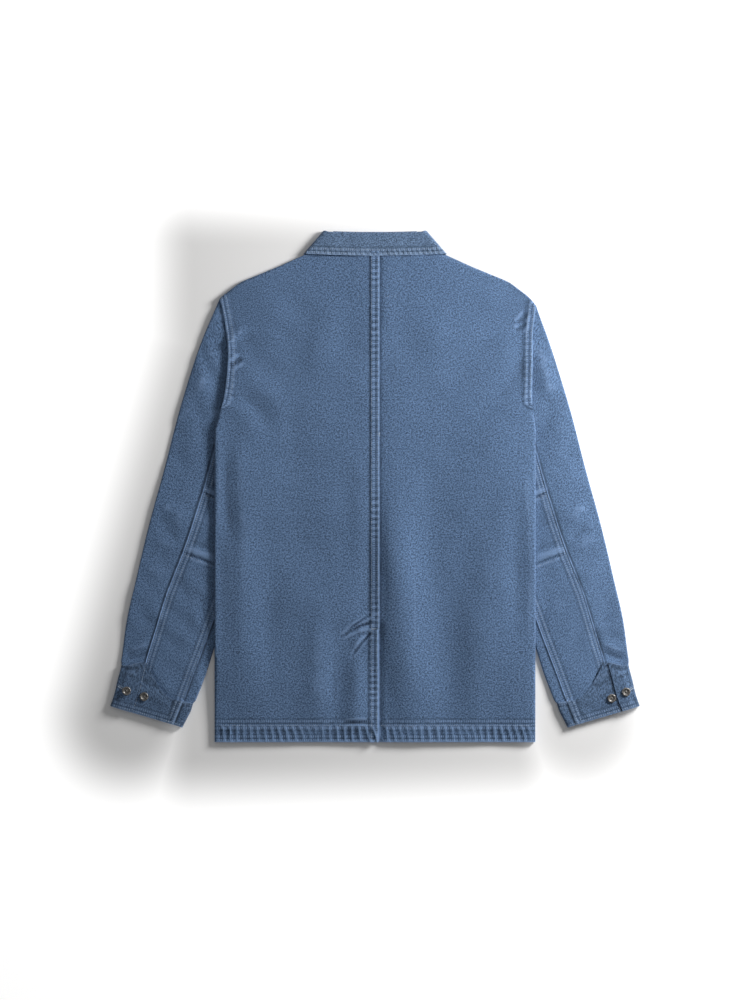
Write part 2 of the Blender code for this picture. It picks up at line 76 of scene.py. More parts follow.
# Body
BODY_HALF = 236 * MM  # centre back to the side fold
HEM_Y = -376 * MM
NECK_Y = 346 * MM  # edge of the back neck, under the collar
SEAM_X = 6.6 * MM  # edge of the centre back's felled strip, which belongs to the left back
STRIP_HALF = 8 * MM  # half of the felled strip over the seam
VENT_TOP_Y = -209 * MM
VENT_EDGE_X = 5 * MM  # edge of the left back in the vent, over the right one
VENT_UNDER_X = -25 * MM  # edge of the right back beneath
VENT_EASE = 14 * MM  # length of the dip that makes room for the lap
VENT_RUN = 4 * MM  # length in which the lap reaches its width
BODY_HEIGHT = 6.3 * MM  # front and back together where they lie on the surface
CENTRE_HEIGHT = 6.5 * MM  # over the lapped front edges
SLEEVE_ROOM = 5.4 * MM  # how far the body is lifted by the sleeve beneath it
LIFT_RUN = 20 * MM  # width of the fronts' slope up to it
LIFT_FROM_X = 105 * MM  # the back's slope up to it is wider and starts here
LIFT_FOOT_Y = -372 * MM  # it starts from nothing by the hem
LONG_RISE = 140 * MM  # rises over this length
LIFT_HEAD_Y = 100 * MM  # and falls from here
LONG_FALL = 165 * MM  # over this length, up the armhole
SHOULDER_EASE = 0.3 * MM  # more gap in the fold of the shoulder, which turns two ways by the neck
FRONT_GAP = 4.0 * MM  # between a front and the sleeve that it meets
# Fronts
NECK_HALF = 92 * MM
FRONT_NECK_Y = 272 * MM
FRONT_LAP = 15 * MM  # each front runs past the centre by this
PLACKET_LIFT = 2.5 * MM  # room for the buttons
PLACKET_HALF = 21 * MM
PLACKET_FOOT_Y = -207 * MM  # below the last button the fronts lie flat
COLLAR_LIFT = 2.3 * MM  # room for the collar's ends
COLLAR_ZONE_Y = 178 * MM
COLLAR_ZONE_X = 122 * MM
# Sleeves
RIM = 2.3 * MM  # radius of a sleeve's folded edge
CUFF_RIM = 3.7 * MM
INSERT = 0.2  # length of sleeve inside the cuff, as a share of a station
INSERT_START = 0.14  # it starts to narrow this far before the cuff
INSERT_RUN = 0.2  # and is narrow enough after this length
CUFF_LAP = 2.1 * MM  # lift of the cuff's end that laps over the other
CUFF_TAPER = 1.6 * MM  # how far a cuff's folds come in where it meets the sleeve
# Collar
ROLL_HALF = 71.5 * MM
ROLL_Y = 376 * MM
ROLL_DIP = 1.6 * MM  # the rolled edge is a little hollow
FALL_HALF = 101 * MM
FALL_Y = 339.3 * MM
FALL_BOW = 2.7  # its edge rises towards its ends by this, in mm
FALL_TOP = 9.0 * MM
STAND_BASE = 1.6 * MM
# Stitches and buttons
PITCH = 3.3  # from one stitch to the next, in mm
BUTTON_D = 13 * MM
BUTTON_T = 2.2 * MM
FRONT_BUTTONS = 5
# The shoulder line, from the collar out to the top of the sleeve, in mm.
Shoulder = namedtuple("Shoulder", "x y")
SHOULDER = (
    Shoulder(92, 346),
    Shoulder(101, 342),
    Shoulder(140, 324.5),
    Shoulder(170, 312),
    Shoulder(197, 300.5),
    Shoulder(213, 289),
    Shoulder(228, 277),
    Shoulder(238, 265),
)
# The back's outer edge, up the side fold and the armhole, in mm from the centre.
Edge = namedtuple("Edge", "y left right")
EDGES = (
    Edge(-376, 236, 236),
    Edge(60, 236, 236),
    Edge(85, 235, 236),
    Edge(121, 224, 231),
    Edge(150, 219, 231),
    Edge(190, 216, 232),
    Edge(220, 218, 232),
    Edge(252, 223, 235),
    Edge(277, 228, 239),
)
# Where a sleeve ends, under the back, in mm. It rises from the underarm at 0 to the shoulder at 1.
End = namedtuple("End", "rise y x")
ENDS = (
    End(0.0, 88, 182),
    End(0.1, 100, 198),
    End(0.22, 122, 207),
    End(0.4, 155, 210),
    End(0.65, 205, 208),
    End(0.88, 250, 211),
    End(1.0, 277, 228),
)
# The body's lift over the sleeve: it is lifted from x outwards, in mm.
Lift = namedtuple("Lift", "y x")
LIFTS = (
    Lift(-262, 262),
    Lift(-246, 238),
    Lift(-232, 212),
    Lift(-195, 190),
    Lift(-130, 163),
    Lift(94, 163),
    Lift(106, 176),
    Lift(118, 186),
    Lift(134, 252),
)
# A sleeve's stations from the armhole to its end, in mm: its two folded edges, its two seams as shares of
# the width from the outer edge, the height of its crown and the share of the width that the body leaves
# clear.
Station = namedtuple("Station", "outer_x outer_y inner_x inner_y elbow under crown clear")
STATIONS = (
    Station(228, 277, 182, 88, 0.77, 0.95, 0.0, 0.40),
    Station(258, 206, 178, 50, 0.53, 0.93, 0.7, 0.30),
    Station(286, 118, 176, -8, 0.47, 0.92, 1.5, 0.40),
    Station(310, 26, 180, -72, 0.42, 0.91, 1.5, 0.52),
    Station(333, -58, 200, -138, 0.40, 0.91, 1.5, 0.66),
    Station(352, -138, 218, -188, 0.345, 0.90, 1.5, 0.80),
    Station(365, -195, 235, -233, 0.33, 0.90, 1.5, 0.95),
    Station(373, -252, 249, -277, 0.28, 0.87, 1.5, 1.0),
    Station(382, -299, 266, -320, 0.25, 0.87, 1.5, 1.0),
    Station(389.5, -323, 283.5, -355, 0.27, 0.90, 1.5, 1.0),
)
LAST = len(STATIONS) - 1
# Top edge of a cuff, as stations, round the sleeve from its outer edge.
CUFF_OUTER = 7.2
CUFF_VENT = 7.0
CUFF_INNER = 8.0
VENT_OVER = {-1: 0.26, 1: 0.22}  # share of the width at which each cuff's upper end stops
VENT_UNDER = 0.1  # and where its under end stops
CuffButton = namedtuple("CuffButton", "side x y part")
CUFF_BUTTONS = (
    CuffButton(-1, -365, -300.5, "outer"),
    CuffButton(-1, -339.5, -309, "inner"),
    CuffButton(1, 369, -302, "outer"),
    CuffButton(1, 348, -311.5, "inner"),
)
# The collar's ends on the fronts, from the side of the neck to the centre front, in mm.
Leaf = namedtuple("Leaf", "roll_x roll_y edge_x edge_y")
LEAVES = (
    Leaf(71.5, 376, 101, 342),
    Leaf(72, 346, 106, 306),
    Leaf(62, 312, 98, 264),
    Leaf(40, 287, 82, 238),
    Leaf(8, 276, 62, 222),
)

# %% [markdown]
# ## Shapes
#
# These functions say where the cloth lies when it has no folds. A smooth curve runs through each table. The
# body panels turn through a quarter circle at the side and the shoulder, where front and back meet. A
# sleeve is a flattened tube, so its points run over the top, round a folded edge, along the bottom and
# round the other edge.

# %% Shapes
QUARTER = tuple(math.pi / 2 * step / 5 for step in range(1, 6))
LAST_TILT = math.sin(QUARTER[0] / 2)


def ease(share):
    """0 to 1 with a soft start and a soft end."""
    share = min(max(share, 0.0), 1.0)
    return share * share * (3 - 2 * share)


def curve(keys, values, place):
    """The value at a place on a smooth curve through the values, flat beyond its ends."""
    if place <= keys[0]:
        return values[0]
    if place >= keys[-1]:
        return values[-1]
    at = next(i for i in range(len(keys) - 1) if place <= keys[i + 1])

    def slope(i):
        before, after = max(i - 1, 0), min(i + 1, len(keys) - 1)
        return (values[after] - values[before]) / (keys[after] - keys[before])

    span = keys[at + 1] - keys[at]
    t = (place - keys[at]) / span
    start, end = values[at], values[at + 1]
    rise = end - start
    first, last = slope(at) * span, slope(at + 1) * span
    return start + t * (first + t * ((3 * rise - 2 * first - last) + t * (first + last - 2 * rise)))


@lru_cache(maxsize=None)
def column(rows, key, name, place):
    """A table's column, read at a place along its key, both in metres."""
    return curve([getattr(row, key) * MM for row in rows], [getattr(row, name) * MM for row in rows], place)


@lru_cache(maxsize=None)
def station(name, place):
    """A sleeve column at a place along the stations."""
    return curve(range(len(STATIONS)), [getattr(row, name) for row in STATIONS], place)


def bend(radius, angle, curl):
    """How far a strip reaches and drops after an arc, from flat at curl 0 to round at curl 1."""
    if curl < 0.02:
        return radius * angle, 0.0
    return radius / curl * math.sin(curl * angle), radius / curl * (1 - math.cos(curl * angle))


def turn_radius(height, thickness):
    """The radius at which two walls turn to meet each other, a seam apart, in a fold of this height."""
    return (height - SEAM - 2 * thickness * LAST_TILT) / 2


def shoulder_y(x):
    return column(SHOULDER, "x", "y", abs(x))


def edge_x(side, y):
    return column(EDGES, "y", "left" if side < 0 else "right", y)


def corner(side):
    """The top of the armhole, where it meets the shoulder line."""
    x = edge_x(side, 0.277 if side < 0 else 0.265)
    return x, shoulder_y(x)


def over_sleeve(x, y):
    """How high the body lies over the part of a sleeve that is tucked beneath it."""
    return SLEEVE_ROOM * ease((abs(x) - column(LIFTS, "y", "x", y) + LIFT_RUN) / LIFT_RUN)


def low_height(x, y):
    """Underside of the fronts."""
    placket = PLACKET_LIFT * (1 - ease((abs(x) - PLACKET_HALF) / (14 * MM)))
    placket *= ease((y - PLACKET_FOOT_Y) / (12 * MM))
    by_x = 1 - ease((abs(x) - COLLAR_ZONE_X) / (16 * MM))
    collar = COLLAR_LIFT * by_x * ease((y - COLLAR_ZONE_Y) / (12 * MM))
    return max(over_sleeve(x, y), placket, collar)


def top_height(side, x, y):
    """Upper face of the back."""
    edge = edge_x(side, y)
    outward = ease((abs(x) - LIFT_FROM_X) / (edge - 20 * MM - LIFT_FROM_X))
    along = ease((y - LIFT_FOOT_Y) / LONG_RISE) if y < 0 else 1 - ease((y - LIFT_HEAD_Y) / LONG_FALL)
    height = BODY_HEIGHT + SLEEVE_ROOM * along * outward
    return height + (CENTRE_HEIGHT - BODY_HEIGHT) * (1 - ease((abs(x) - 24 * MM) / (20 * MM)))


def side_curl(y):
    """The side is folded up to the armhole, and the armhole's edge is flat."""
    return ease((118 * MM - y) / (34 * MM))


def shoulder_curl(x):
    return ease((abs(x) - 93 * MM) / (9 * MM))


def panel_y(share, top):
    """Rows are straight over most of the body and follow the shoulder at the top."""
    return HEM_Y + (NECK_Y - HEM_Y) * share + (top - NECK_Y) * share**7


def body_point(side, col, row, inner_x, edge_of, top_of, height, upper):
    """A point of a body panel. inner_x and edge_of give its two edges at a height, top_of its top edge.

    A column's share runs from 0 at the inner edge to 1 beside the centre strip, 2 at the side of the neck and
    3 at the outer edge.
    """
    (share, side_angle), (along, top_angle) = col, row
    edge_y = panel_y(along, corner(side)[1])
    curl = side_curl(edge_y)
    outer = edge_of(edge_y)
    radius = turn_radius(top_height(side, outer, edge_y) - low_height(outer, edge_y), CLOTH)
    reach, _ = bend(radius, math.pi / 2, curl)
    inner = inner_x(panel_y(along, NECK_Y))
    over, drop = bend(radius, side_angle, curl)
    lines = (inner, STRIP_HALF, NECK_HALF, outer - reach)
    at = min(int(share), 2)
    x = side * (lines[at] + (lines[at + 1] - lines[at]) * (share - at) + over)
    top = top_of(x)
    top_curl = shoulder_curl(x)
    top_radius = turn_radius(top_height(side, x, top) - low_height(x, top) - SHOULDER_EASE, CLOTH)
    top_reach, _ = bend(top_radius, math.pi / 2, top_curl)
    up, top_drop = bend(top_radius, top_angle, top_curl)
    y = panel_y(along, top - top_reach) + up
    turned = drop + top_drop
    return Vector((x, y, height(x, y) - turned if upper else height(x, y) + turned))


def back_inner(side):
    """The back's edge at the centre, with the vent's lap."""

    def at(y):
        lapped = ease((VENT_TOP_Y - y) / VENT_RUN)
        if side < 0:
            return -(SEAM_X - SEAM / 2 + (VENT_EDGE_X - SEAM_X + SEAM / 2) * lapped)
        return SEAM_X + SEAM / 2 + (VENT_UNDER_X - SEAM_X - SEAM / 2) * lapped

    return at


def back_height(side):
    def at(x, y):
        height = top_height(side, x, y)
        if side > 0:
            near = 1 - ease((x - STRIP_HALF) / (8 * MM))
            height -= (CLOTH + SEAM + 0.1 * MM) * near * ease((VENT_TOP_Y + VENT_EASE - y) / VENT_EASE)
        return height

    return at


def front_top(x):
    """The front's top edge: the neckline, then the shoulder."""
    share = min(abs(x) / NECK_HALF, 1.0)
    if share < 1.0:
        return FRONT_NECK_Y + (NECK_Y - FRONT_NECK_Y) * (1 - math.sqrt(1 - share * share))
    return shoulder_y(x)


def out_to_corner(side, x, y):
    """The sleeve's end, drawn out to the corner of the armhole at its top."""
    corner_x, corner_y = corner(side)
    return x + (corner_x - x) * ease((y - corner_y + 26 * MM) / (26 * MM))


def front_edge(side):
    """The front's outer edge: it stops at the sleeve in the armhole and runs to the fold below it."""

    def at(y):
        in_armhole = 1 - ease((112 * MM - y) / (24 * MM))
        edge = edge_x(side, y)
        inside = out_to_corner(side, column(ENDS, "y", "x", y), y) - FRONT_GAP
        return edge + (inside - edge) * in_armhole

    return at


def front_height(side):
    """The left front is the outer one at the centre, so the right front lies over it."""

    def at(x, y):
        height = low_height(x, y)
        if side > 0:
            height += (CLOTH + SEAM) * (1 - ease((x - FRONT_LAP - 2 * MM) / (10 * MM)))
        return height

    return at


@lru_cache(maxsize=None)
def sleeve_end(side, share):
    """A point of the sleeve's end, at a share of the way from the shoulder to the underarm."""
    keys = [row.rise for row in ENDS]
    x = curve(keys, [row.x * MM for row in ENDS], 1 - share)
    y = curve(keys, [row.y * MM for row in ENDS], 1 - share)
    y = min(y, corner(side)[1])
    return Vector((out_to_corner(side, x, y) + SEAM, y))


@lru_cache(maxsize=None)
def sleeve_plan(side, place, share):
    """A point on the surface under the sleeve, at a share of its width from the outer edge."""
    outer = Vector((station("outer_x", place), station("outer_y", place))) * MM
    inner = Vector((station("inner_x", place), station("inner_y", place))) * MM
    first = STATIONS[0]
    top = Vector((first.outer_x, first.outer_y)) * MM
    under = Vector((first.inner_x, first.inner_y)) * MM
    fade = max(0.0, 1 - place / 1.6) ** 2
    point = outer.lerp(inner, share) + fade * (sleeve_end(side, share) - top.lerp(under, share))
    return Vector((side * point.x, point.y))


def sleeve_width(place):
    outer = Vector((station("outer_x", place), station("outer_y", place))) * MM
    inner = Vector((station("inner_x", place), station("inner_y", place))) * MM
    return (inner - outer).length


def crown(place, share):
    """Height of the upper layer over its folded edges."""
    clear = station("clear", place)
    if share >= clear:
        return 0.0
    return station("crown", place) * MM * math.sin(math.pi * share / clear)


def edge_shift(side, place, share, inset):
    """From a point of the sleeve's edge, a step of this length inwards, square to the edge."""
    step = 0.04
    low, high = max(place - step, 0.0), min(place + step, LAST)
    tangent = sleeve_plan(side, high, share) - sleeve_plan(side, low, share)
    square = Vector((-tangent.y, tangent.x)).normalized()
    middle = sleeve_plan(side, place, 0.5) - sleeve_plan(side, place, share)
    square *= 1 if square.dot(middle) > 0 else -1
    along_end = sleeve_plan(side, place, 0.9 * share + 0.05) - sleeve_plan(side, place, share)
    return square.lerp(along_end.normalized(), max(0.0, 1 - place / 0.6)) * inset


def ring(side, place, span, share, rim, base, inset, swell):
    """A point round a flattened tube: over the top, round a folded edge or along the bottom."""
    turn = math.pi * share
    if span in ("top", "bottom"):
        near, far = (edge_shift(side, place, edge, rim + inset) for edge in (0.0, 1.0))
        spot = sleeve_plan(side, place, share) + near * (1 - share) + far * share
        height = base + 2 * rim + swell * crown(place, share) if span == "top" else base
    else:
        edge = 0.0 if span == "outer" else 1.0
        spot = sleeve_plan(side, place, edge) + edge_shift(side, place, edge, inset + rim * (1 - math.sin(turn)))
        height = base + rim + rim * math.cos(turn) * (1 if span == "outer" else -1)
    return Vector((spot.x, spot.y, height))


def cuff_top(span, share):
    """Where the cuff is sewn to the sleeve, round the sleeve."""
    if span == "outer":
        return CUFF_OUTER
    if span == "inner":
        return CUFF_INNER
    if span == "bottom":
        return CUFF_OUTER + (CUFF_INNER - CUFF_OUTER) * ease(share)
    vent = STATIONS[7].elbow
    if share < vent:
        return CUFF_OUTER + (CUFF_VENT - CUFF_OUTER) * ease(share / vent)
    return CUFF_VENT + (CUFF_INNER - CUFF_VENT) * math.sin(min((share - vent) / 0.55, 1.0) * math.pi / 2)


def sleeve_point(side, col, along):
    """A point on a sleeve panel, which runs into its cuff."""
    span, share = col
    end = cuff_top(span, min(share, 1.0) if not callable(share) else share(LAST - 1)) + INSERT
    place = along * end
    share = share(place) if callable(share) else share
    inside = ease((place - (end - INSERT - INSERT_START)) / INSERT_RUN)
    rim = RIM + (CUFF_RIM - CUFF_WALL - SEAM - RIM) * inside
    base = (CUFF_WALL + SEAM) * inside
    inset = (CUFF_WALL + SEAM) * inside
    return ring(side, place, span, share, rim, base, inset, 1 - inside)


def seam_share(name, shift):
    """A seam's share of the width at a place, moved across by a distance."""

    def at(place):
        return station(name, place) + shift / sleeve_width(place)

    return at


def between(first, last, share):
    """A share of the way from one line to another, each a number or a seam."""

    def at(place):
        start = first(place) if callable(first) else first
        end = last(place) if callable(last) else last
        return start + (end - start) * share

    return at

# %% [markdown]
# ## Materials
#
# The cloth is yarn dyed blue, then washed until its ridges have faded. One node group draws the weave and
# its heathered yarns, another the wear beside the seams, with a painted highlight on their edges and painted
# shade in the grooves beside them. Image textures of real denim would be finer, but these stay sharp at any
# distance and follow each piece. Groups are shared, so all the cloth fades alike.

# %% Shared node groups
def group(name, inputs, outputs):
    """An empty node group with named float, vector and colour sockets, and its two end nodes."""
    tree = bpy.data.node_groups.new(name, "ShaderNodeTree")
    for label, kind, default in inputs:
        socket = tree.interface.new_socket(name=label, in_out="INPUT", socket_type=f"NodeSocket{kind}")
        if default is not None:
            socket.default_value = default
    for label, kind in outputs:
        tree.interface.new_socket(name=label, in_out="OUTPUT", socket_type=f"NodeSocket{kind}")
    return tree, tree.nodes.new("NodeGroupInput"), tree.nodes.new("NodeGroupOutput")


def wire(tree, source, target):
    tree.links.new(source, target)


def put(tree, value, socket):
    """Links a socket, or sets a constant."""
    if isinstance(value, (int, float, tuple)):
        socket.default_value = value
    else:
        tree.links.new(value, socket)


def sums(tree, operation, first, second=None, third=None):
    """A maths node's output. Numbers become its constants."""
    node = tree.nodes.new("ShaderNodeMath")
    node.operation = operation
    for i, value in enumerate((first, second, third)):
        if value is not None:
            put(tree, value, node.inputs[i])
    return node.outputs[0]


def spread(tree, value, low, high, out_low=0.0, out_high=1.0):
    """A value stretched smoothly from one range to another."""
    node = tree.nodes.new("ShaderNodeMapRange")
    node.interpolation_type = "SMOOTHSTEP"
    put(tree, value, node.inputs["Value"])
    for label, number in (("From Min", low), ("From Max", high), ("To Min", out_low), ("To Max", out_high)):
        node.inputs[label].default_value = number
    return node.outputs[0]


def vector_maths(tree, operation, first, second=None, output="Vector"):
    """A vector maths node's output."""
    node = tree.nodes.new("ShaderNodeVectorMath")
    node.operation = operation
    put(tree, first, node.inputs[0])
    if second is not None:
        put(tree, second, node.inputs["Scale" if operation == "SCALE" else 1])
    return node.outputs[output]


def noise(tree, vector, scale, detail=2.0, roughness=0.5):
    node = tree.nodes.new("ShaderNodeTexNoise")
    wire(tree, vector, node.inputs["Vector"])
    node.inputs["Scale"].default_value = scale
    node.inputs["Detail"].default_value = detail
    node.inputs["Roughness"].default_value = roughness
    return node.outputs["Fac"]


def blended(tree, share, first, second):
    """A colour mix. Numbers and tuples become its constants."""
    node = tree.nodes.new("ShaderNodeMix")
    node.data_type = "RGBA"
    node.clamp_factor = True
    put(tree, share, node.inputs[0])
    put(tree, first, node.inputs[6])
    put(tree, second, node.inputs[7])
    return node.outputs[2]


def bumped(tree, height, strength, distance):
    """Gives the tree's shader a bump."""
    bump = tree.nodes.new("ShaderNodeBump")
    bump.inputs["Strength"].default_value = strength
    bump.inputs["Distance"].default_value = distance
    wire(tree, height, bump.inputs["Height"])
    wire(tree, bump.outputs["Normal"], tree.nodes["Principled BSDF"].inputs["Normal"])


def map_of(tree, name):
    """A UV map's place."""
    node = tree.nodes.new("ShaderNodeUVMap")
    node.uv_map = name
    return node.outputs[0]


def part_of(tree, vector, axis):
    node = tree.nodes.new("ShaderNodeSeparateXYZ")
    wire(tree, vector, node.inputs[0])
    return node.outputs[axis]


def object_place(tree):
    return tree.nodes.new("ShaderNodeTexCoord").outputs["Object"]


def grouped(tree, shared):
    node = tree.nodes.new("ShaderNodeGroup")
    node.node_tree = shared
    return node


def plain(name, colour, roughness, metallic=0.0):
    """A material of one colour. Its tree and its shader can then be added to."""
    material = bpy.data.materials.new(name)
    material.use_nodes = True
    shader = material.node_tree.nodes["Principled BSDF"]
    shader.inputs["Base Color"].default_value = (*colour, 1.0)
    shader.inputs["Roughness"].default_value = roughness
    shader.inputs["Metallic"].default_value = metallic
    return material, material.node_tree, shader


# Canvas: warp and weft yarns, each thick and thin along its length, and flecks of paler fibre.
weave, weave_in, weave_out = group(
    "Washed weave",
    [("Cloth", "Vector", None), ("Yarn", "Float", 1100.0)],
    [("Height", "Float"), ("Tone", "Float"), ("Mottle", "Float")],
)
cloth_place = weave_in.outputs["Cloth"]
warp_noise = noise(weave, vector_maths(weave, "MULTIPLY", cloth_place, (1.0, 0.45, 1.0)), 760, 4, 0.7)
weft_noise = noise(weave, vector_maths(weave, "MULTIPLY", cloth_place, (0.5, 1.0, 1.0)), 640, 4, 0.7)
across_cloth, along_cloth = (part_of(weave, cloth_place, axis) for axis in "XY")
turns = sums(weave, "MULTIPLY", weave_in.outputs["Yarn"], 2 * math.pi)
warp = sums(weave, "SINE", sums(weave, "MULTIPLY", across_cloth, turns))
twill = sums(weave, "ADD", across_cloth, sums(weave, "MULTIPLY", along_cloth, 0.9))
rib = sums(weave, "SINE", sums(weave, "MULTIPLY", twill, sums(weave, "MULTIPLY", turns, 0.6)))
yarns = sums(weave, "MULTIPLY_ADD", warp, 0.25, sums(weave, "MULTIPLY", rib, 0.35))
wire(weave, sums(weave, "ADD", yarns, sums(weave, "ADD", warp_noise, weft_noise)), weave_out.inputs["Height"])
grain = noise(weave, cloth_place, 430, 5, 0.8)
fine = sums(weave, "MULTIPLY_ADD", warp_noise, 0.3, sums(weave, "MULTIPLY", weft_noise, 0.3))
heather = sums(weave, "MULTIPLY_ADD", grain, 0.4, fine)
wire(weave, spread(weave, heather, 0.45, 0.55), weave_out.inputs["Tone"])
wire(weave, spread(weave, noise(weave, cloth_place, 62, 4, 0.65), 0.3, 0.7), weave_out.inputs["Mottle"])
print("weave group:", len(weave.nodes), "nodes")

# Wear and painted light: ridges of a seam rub pale, its folded edge gets a painted highlight, and the grooves
# beside it and the cloth's hollows are darkened as painted shade.
wear, wear_in, wear_out = group(
    "Seam wear and painted light",
    [("Seam", "Vector", None), ("Cloth", "Vector", None), ("Worn", "Float", 0.0)],
    [("Pale", "Float"), ("Dark", "Float")],
)
edge_gap, seam_run = (part_of(wear, wear_in.outputs["Seam"], axis) for axis in "XY")
patchy = noise(wear, wear_in.outputs["Cloth"], 110, 3, 0.6)
coarse = noise(wear, wear_in.outputs["Cloth"], 30, 2, 0.5)


def strip(first, full, fading, last, height=1.0):
    """1 between two distances from the seam's edge, with soft sides."""
    return sums(
        wear, "MULTIPLY", spread(wear, edge_gap, first, full), spread(wear, edge_gap, fading, last, height, 0.0)
    )


# Each stitch pulls the seam in, so it wears in beads, one to a stitch.
beat = sums(wear, "MULTIPLY_ADD", seam_run, 2 * math.pi / PITCH, sums(wear, "MULTIPLY", patchy, 8.0))
beat = sums(wear, "SINE", beat)
beads = spread(wear, beat, -0.5, 0.6, 0.25, 1.0)
pits = spread(wear, beat, -0.6, 0.5, 1.0, 0.25)
stitched = sums(wear, "ADD", strip(1.2, 2.2, 3.6, 4.8), strip(6.2, 7.2, 9.0, 10.4))
# The seam's folded edge: a pale line that is partly wear and partly a painted highlight.
edge_wear_and_highlight = strip(-0.8, 0.0, 0.6, 1.6)
rubbed = sums(wear, "MULTIPLY_ADD", stitched, beads, edge_wear_and_highlight)
rubbed = sums(wear, "MULTIPLY", rubbed, spread(wear, patchy, 0.36, 0.6, 0.6, 1.0))
raised = spread(wear, wear_in.outputs["Worn"], 0.1, 0.9)
wire(wear, sums(wear, "MULTIPLY_ADD", raised, 0.7, rubbed), wear_out.inputs["Pale"])
# Painted shade: the grooves beside the seam's edge, between its two stitch rows and at the band's inner side are
# darkened.
groove = sums(wear, "ADD", strip(-5.5, -1.8, -1.3, -0.4), strip(4.2, 5.0, 5.8, 6.8, 0.8))
groove = sums(wear, "ADD", groove, strip(10.0, 11.0, 12.0, 14.5, 0.7))
pitted = sums(wear, "MULTIPLY", stitched, pits)
painted_shade_and_pits = sums(wear, "MULTIPLY", groove, spread(wear, coarse, 0.35, 0.65, 0.6, 1.0))
painted_shade_and_pits = sums(wear, "MULTIPLY_ADD", pitted, 0.85, painted_shade_and_pits)
# Painted shade: cloth that lies lower than the cloth round it is darkened.
sunk = spread(wear, wear_in.outputs["Worn"], -0.9, -0.1, 1.0, 0.0)
wire(wear, sums(wear, "MULTIPLY_ADD", sunk, 0.7, painted_shade_and_pits), wear_out.inputs["Dark"])
print("wear group:", len(wear.nodes), "nodes")

# %% Cloth materials
CLOTH_COLOURS = {
    "back": (0.087, 0.157, 0.287),
    "front": (0.086, 0.154, 0.278),
    "sleeve": (0.092, 0.165, 0.300),
    "collar": (0.098, 0.163, 0.275),
    # The cuffs' darker blue is painted shade, for the shadow that falls on the cuffs.
    "cuff": (0.072, 0.128, 0.229),
}


def canvas(slot, colour):
    """Washed canvas: its blue, its heathered yarns, its seam wear with painted highlights and painted shade, and
    a fine bump.
    """
    material, tree, shader = plain(f"washed canvas, {slot}", colour, 0.92)
    woven = grouped(tree, weave)
    worn = grouped(tree, wear)
    wire(tree, map_of(tree, "Cloth"), woven.inputs["Cloth"])
    wire(tree, map_of(tree, "Cloth"), worn.inputs["Cloth"])
    wire(tree, map_of(tree, "Seam"), worn.inputs["Seam"])
    wire(tree, part_of(tree, map_of(tree, "Worn"), "X"), worn.inputs["Worn"])
    deep = tuple(c * 0.43 for c in colour) + (1.0,)
    pale = tuple(c * 1.72 + 0.022 for c in colour) + (1.0,)
    # The paler blue shows wear and painted highlights; the darker one shows painted shade and the pits between
    # stitches.
    faded = tuple(c * 1.9 + 0.07 for c in colour) + (1.0,)
    shade_and_pits_blue = tuple(c * 0.36 for c in colour) + (1.0,)
    yarn = blended(tree, woven.outputs["Tone"], deep, pale)
    mottled = blended(tree, sums(tree, "MULTIPLY", woven.outputs["Mottle"], 0.3), yarn, (*colour, 1.0))
    darkened = blended(tree, sums(tree, "MULTIPLY", worn.outputs["Dark"], 0.7), mottled, shade_and_pits_blue)
    finished = blended(tree, sums(tree, "MULTIPLY", worn.outputs["Pale"], 0.75), darkened, faded)
    wire(tree, finished, shader.inputs["Base Color"])
    shader.inputs["Specular IOR Level"].default_value = 0.18
    shader.inputs["Sheen Weight"].default_value = 0.12
    shader.inputs["Sheen Roughness"].default_value = 0.6
    bumped(tree, woven.outputs["Height"], 0.55, 0.00035)
    return material


finishes = {slot: canvas(slot, colour) for slot, colour in CLOTH_COLOURS.items()}
print("cloth materials:", ", ".join(finishes))

# %% [markdown]
# ## Folds and seams
#
# A fold is a soft ridge or trough along a bowed line. A seam is a raised band beside a line, a little
# puckered by its stitches. Both are heights added to the cloth, so each can be placed and changed alone.
# Sculpting would do it too, but not in sizes that can be read back.

# %% Fold and seam tools
Fold = namedtuple("Fold", "x1 y1 x2 y2 bow width height")


def lumps(x, y, size, seed):
    """Smooth random heights from -1 to 1, in lumps of this size in mm."""
    grid = np.random.default_rng(seed).uniform(-1, 1, (61, 61))
    u, v = x / size + 900, y / size + 900
    i, j = np.floor(u).astype(int), np.floor(v).astype(int)
    s, t = u - i, v - j
    s, t = s * s * (3 - 2 * s), t * t * (3 - 2 * t)
    low = grid[i % 61, j % 61] * (1 - s) + grid[(i + 1) % 61, j % 61] * s
    high = grid[i % 61, (j + 1) % 61] * (1 - s) + grid[(i + 1) % 61, (j + 1) % 61] * s
    return low * (1 - t) + high * t


def soft(value):
    """0 to 1 with a soft start and a soft end, for arrays."""
    value = np.clip(value, 0, 1)
    return value * value * (3 - 2 * value)


def folds(x, y, rows):
    """The height in mm that a list of folds adds at these points."""
    total = np.zeros_like(x)
    for row in rows:
        along = np.array((row.x2 - row.x1, row.y2 - row.y1), float)
        length = math.hypot(*along)
        along /= length
        run = ((x - row.x1) * along[0] + (y - row.y1) * along[1]) / length
        off = (x - row.x1) * -along[1] + (y - row.y1) * along[0]
        off = off - row.bow * 4 * run * (1 - run)
        fade = soft(run / 0.35) * soft((1 - run) / 0.35)
        across = np.abs(off) / row.width
        crest = 1.6 if row.width < 9 else 2.0
        total += row.height * fade * (np.exp(-(across**crest)) - 0.35 * np.exp(-(((across - 2.1) / 0.9) ** 2)))
    return total


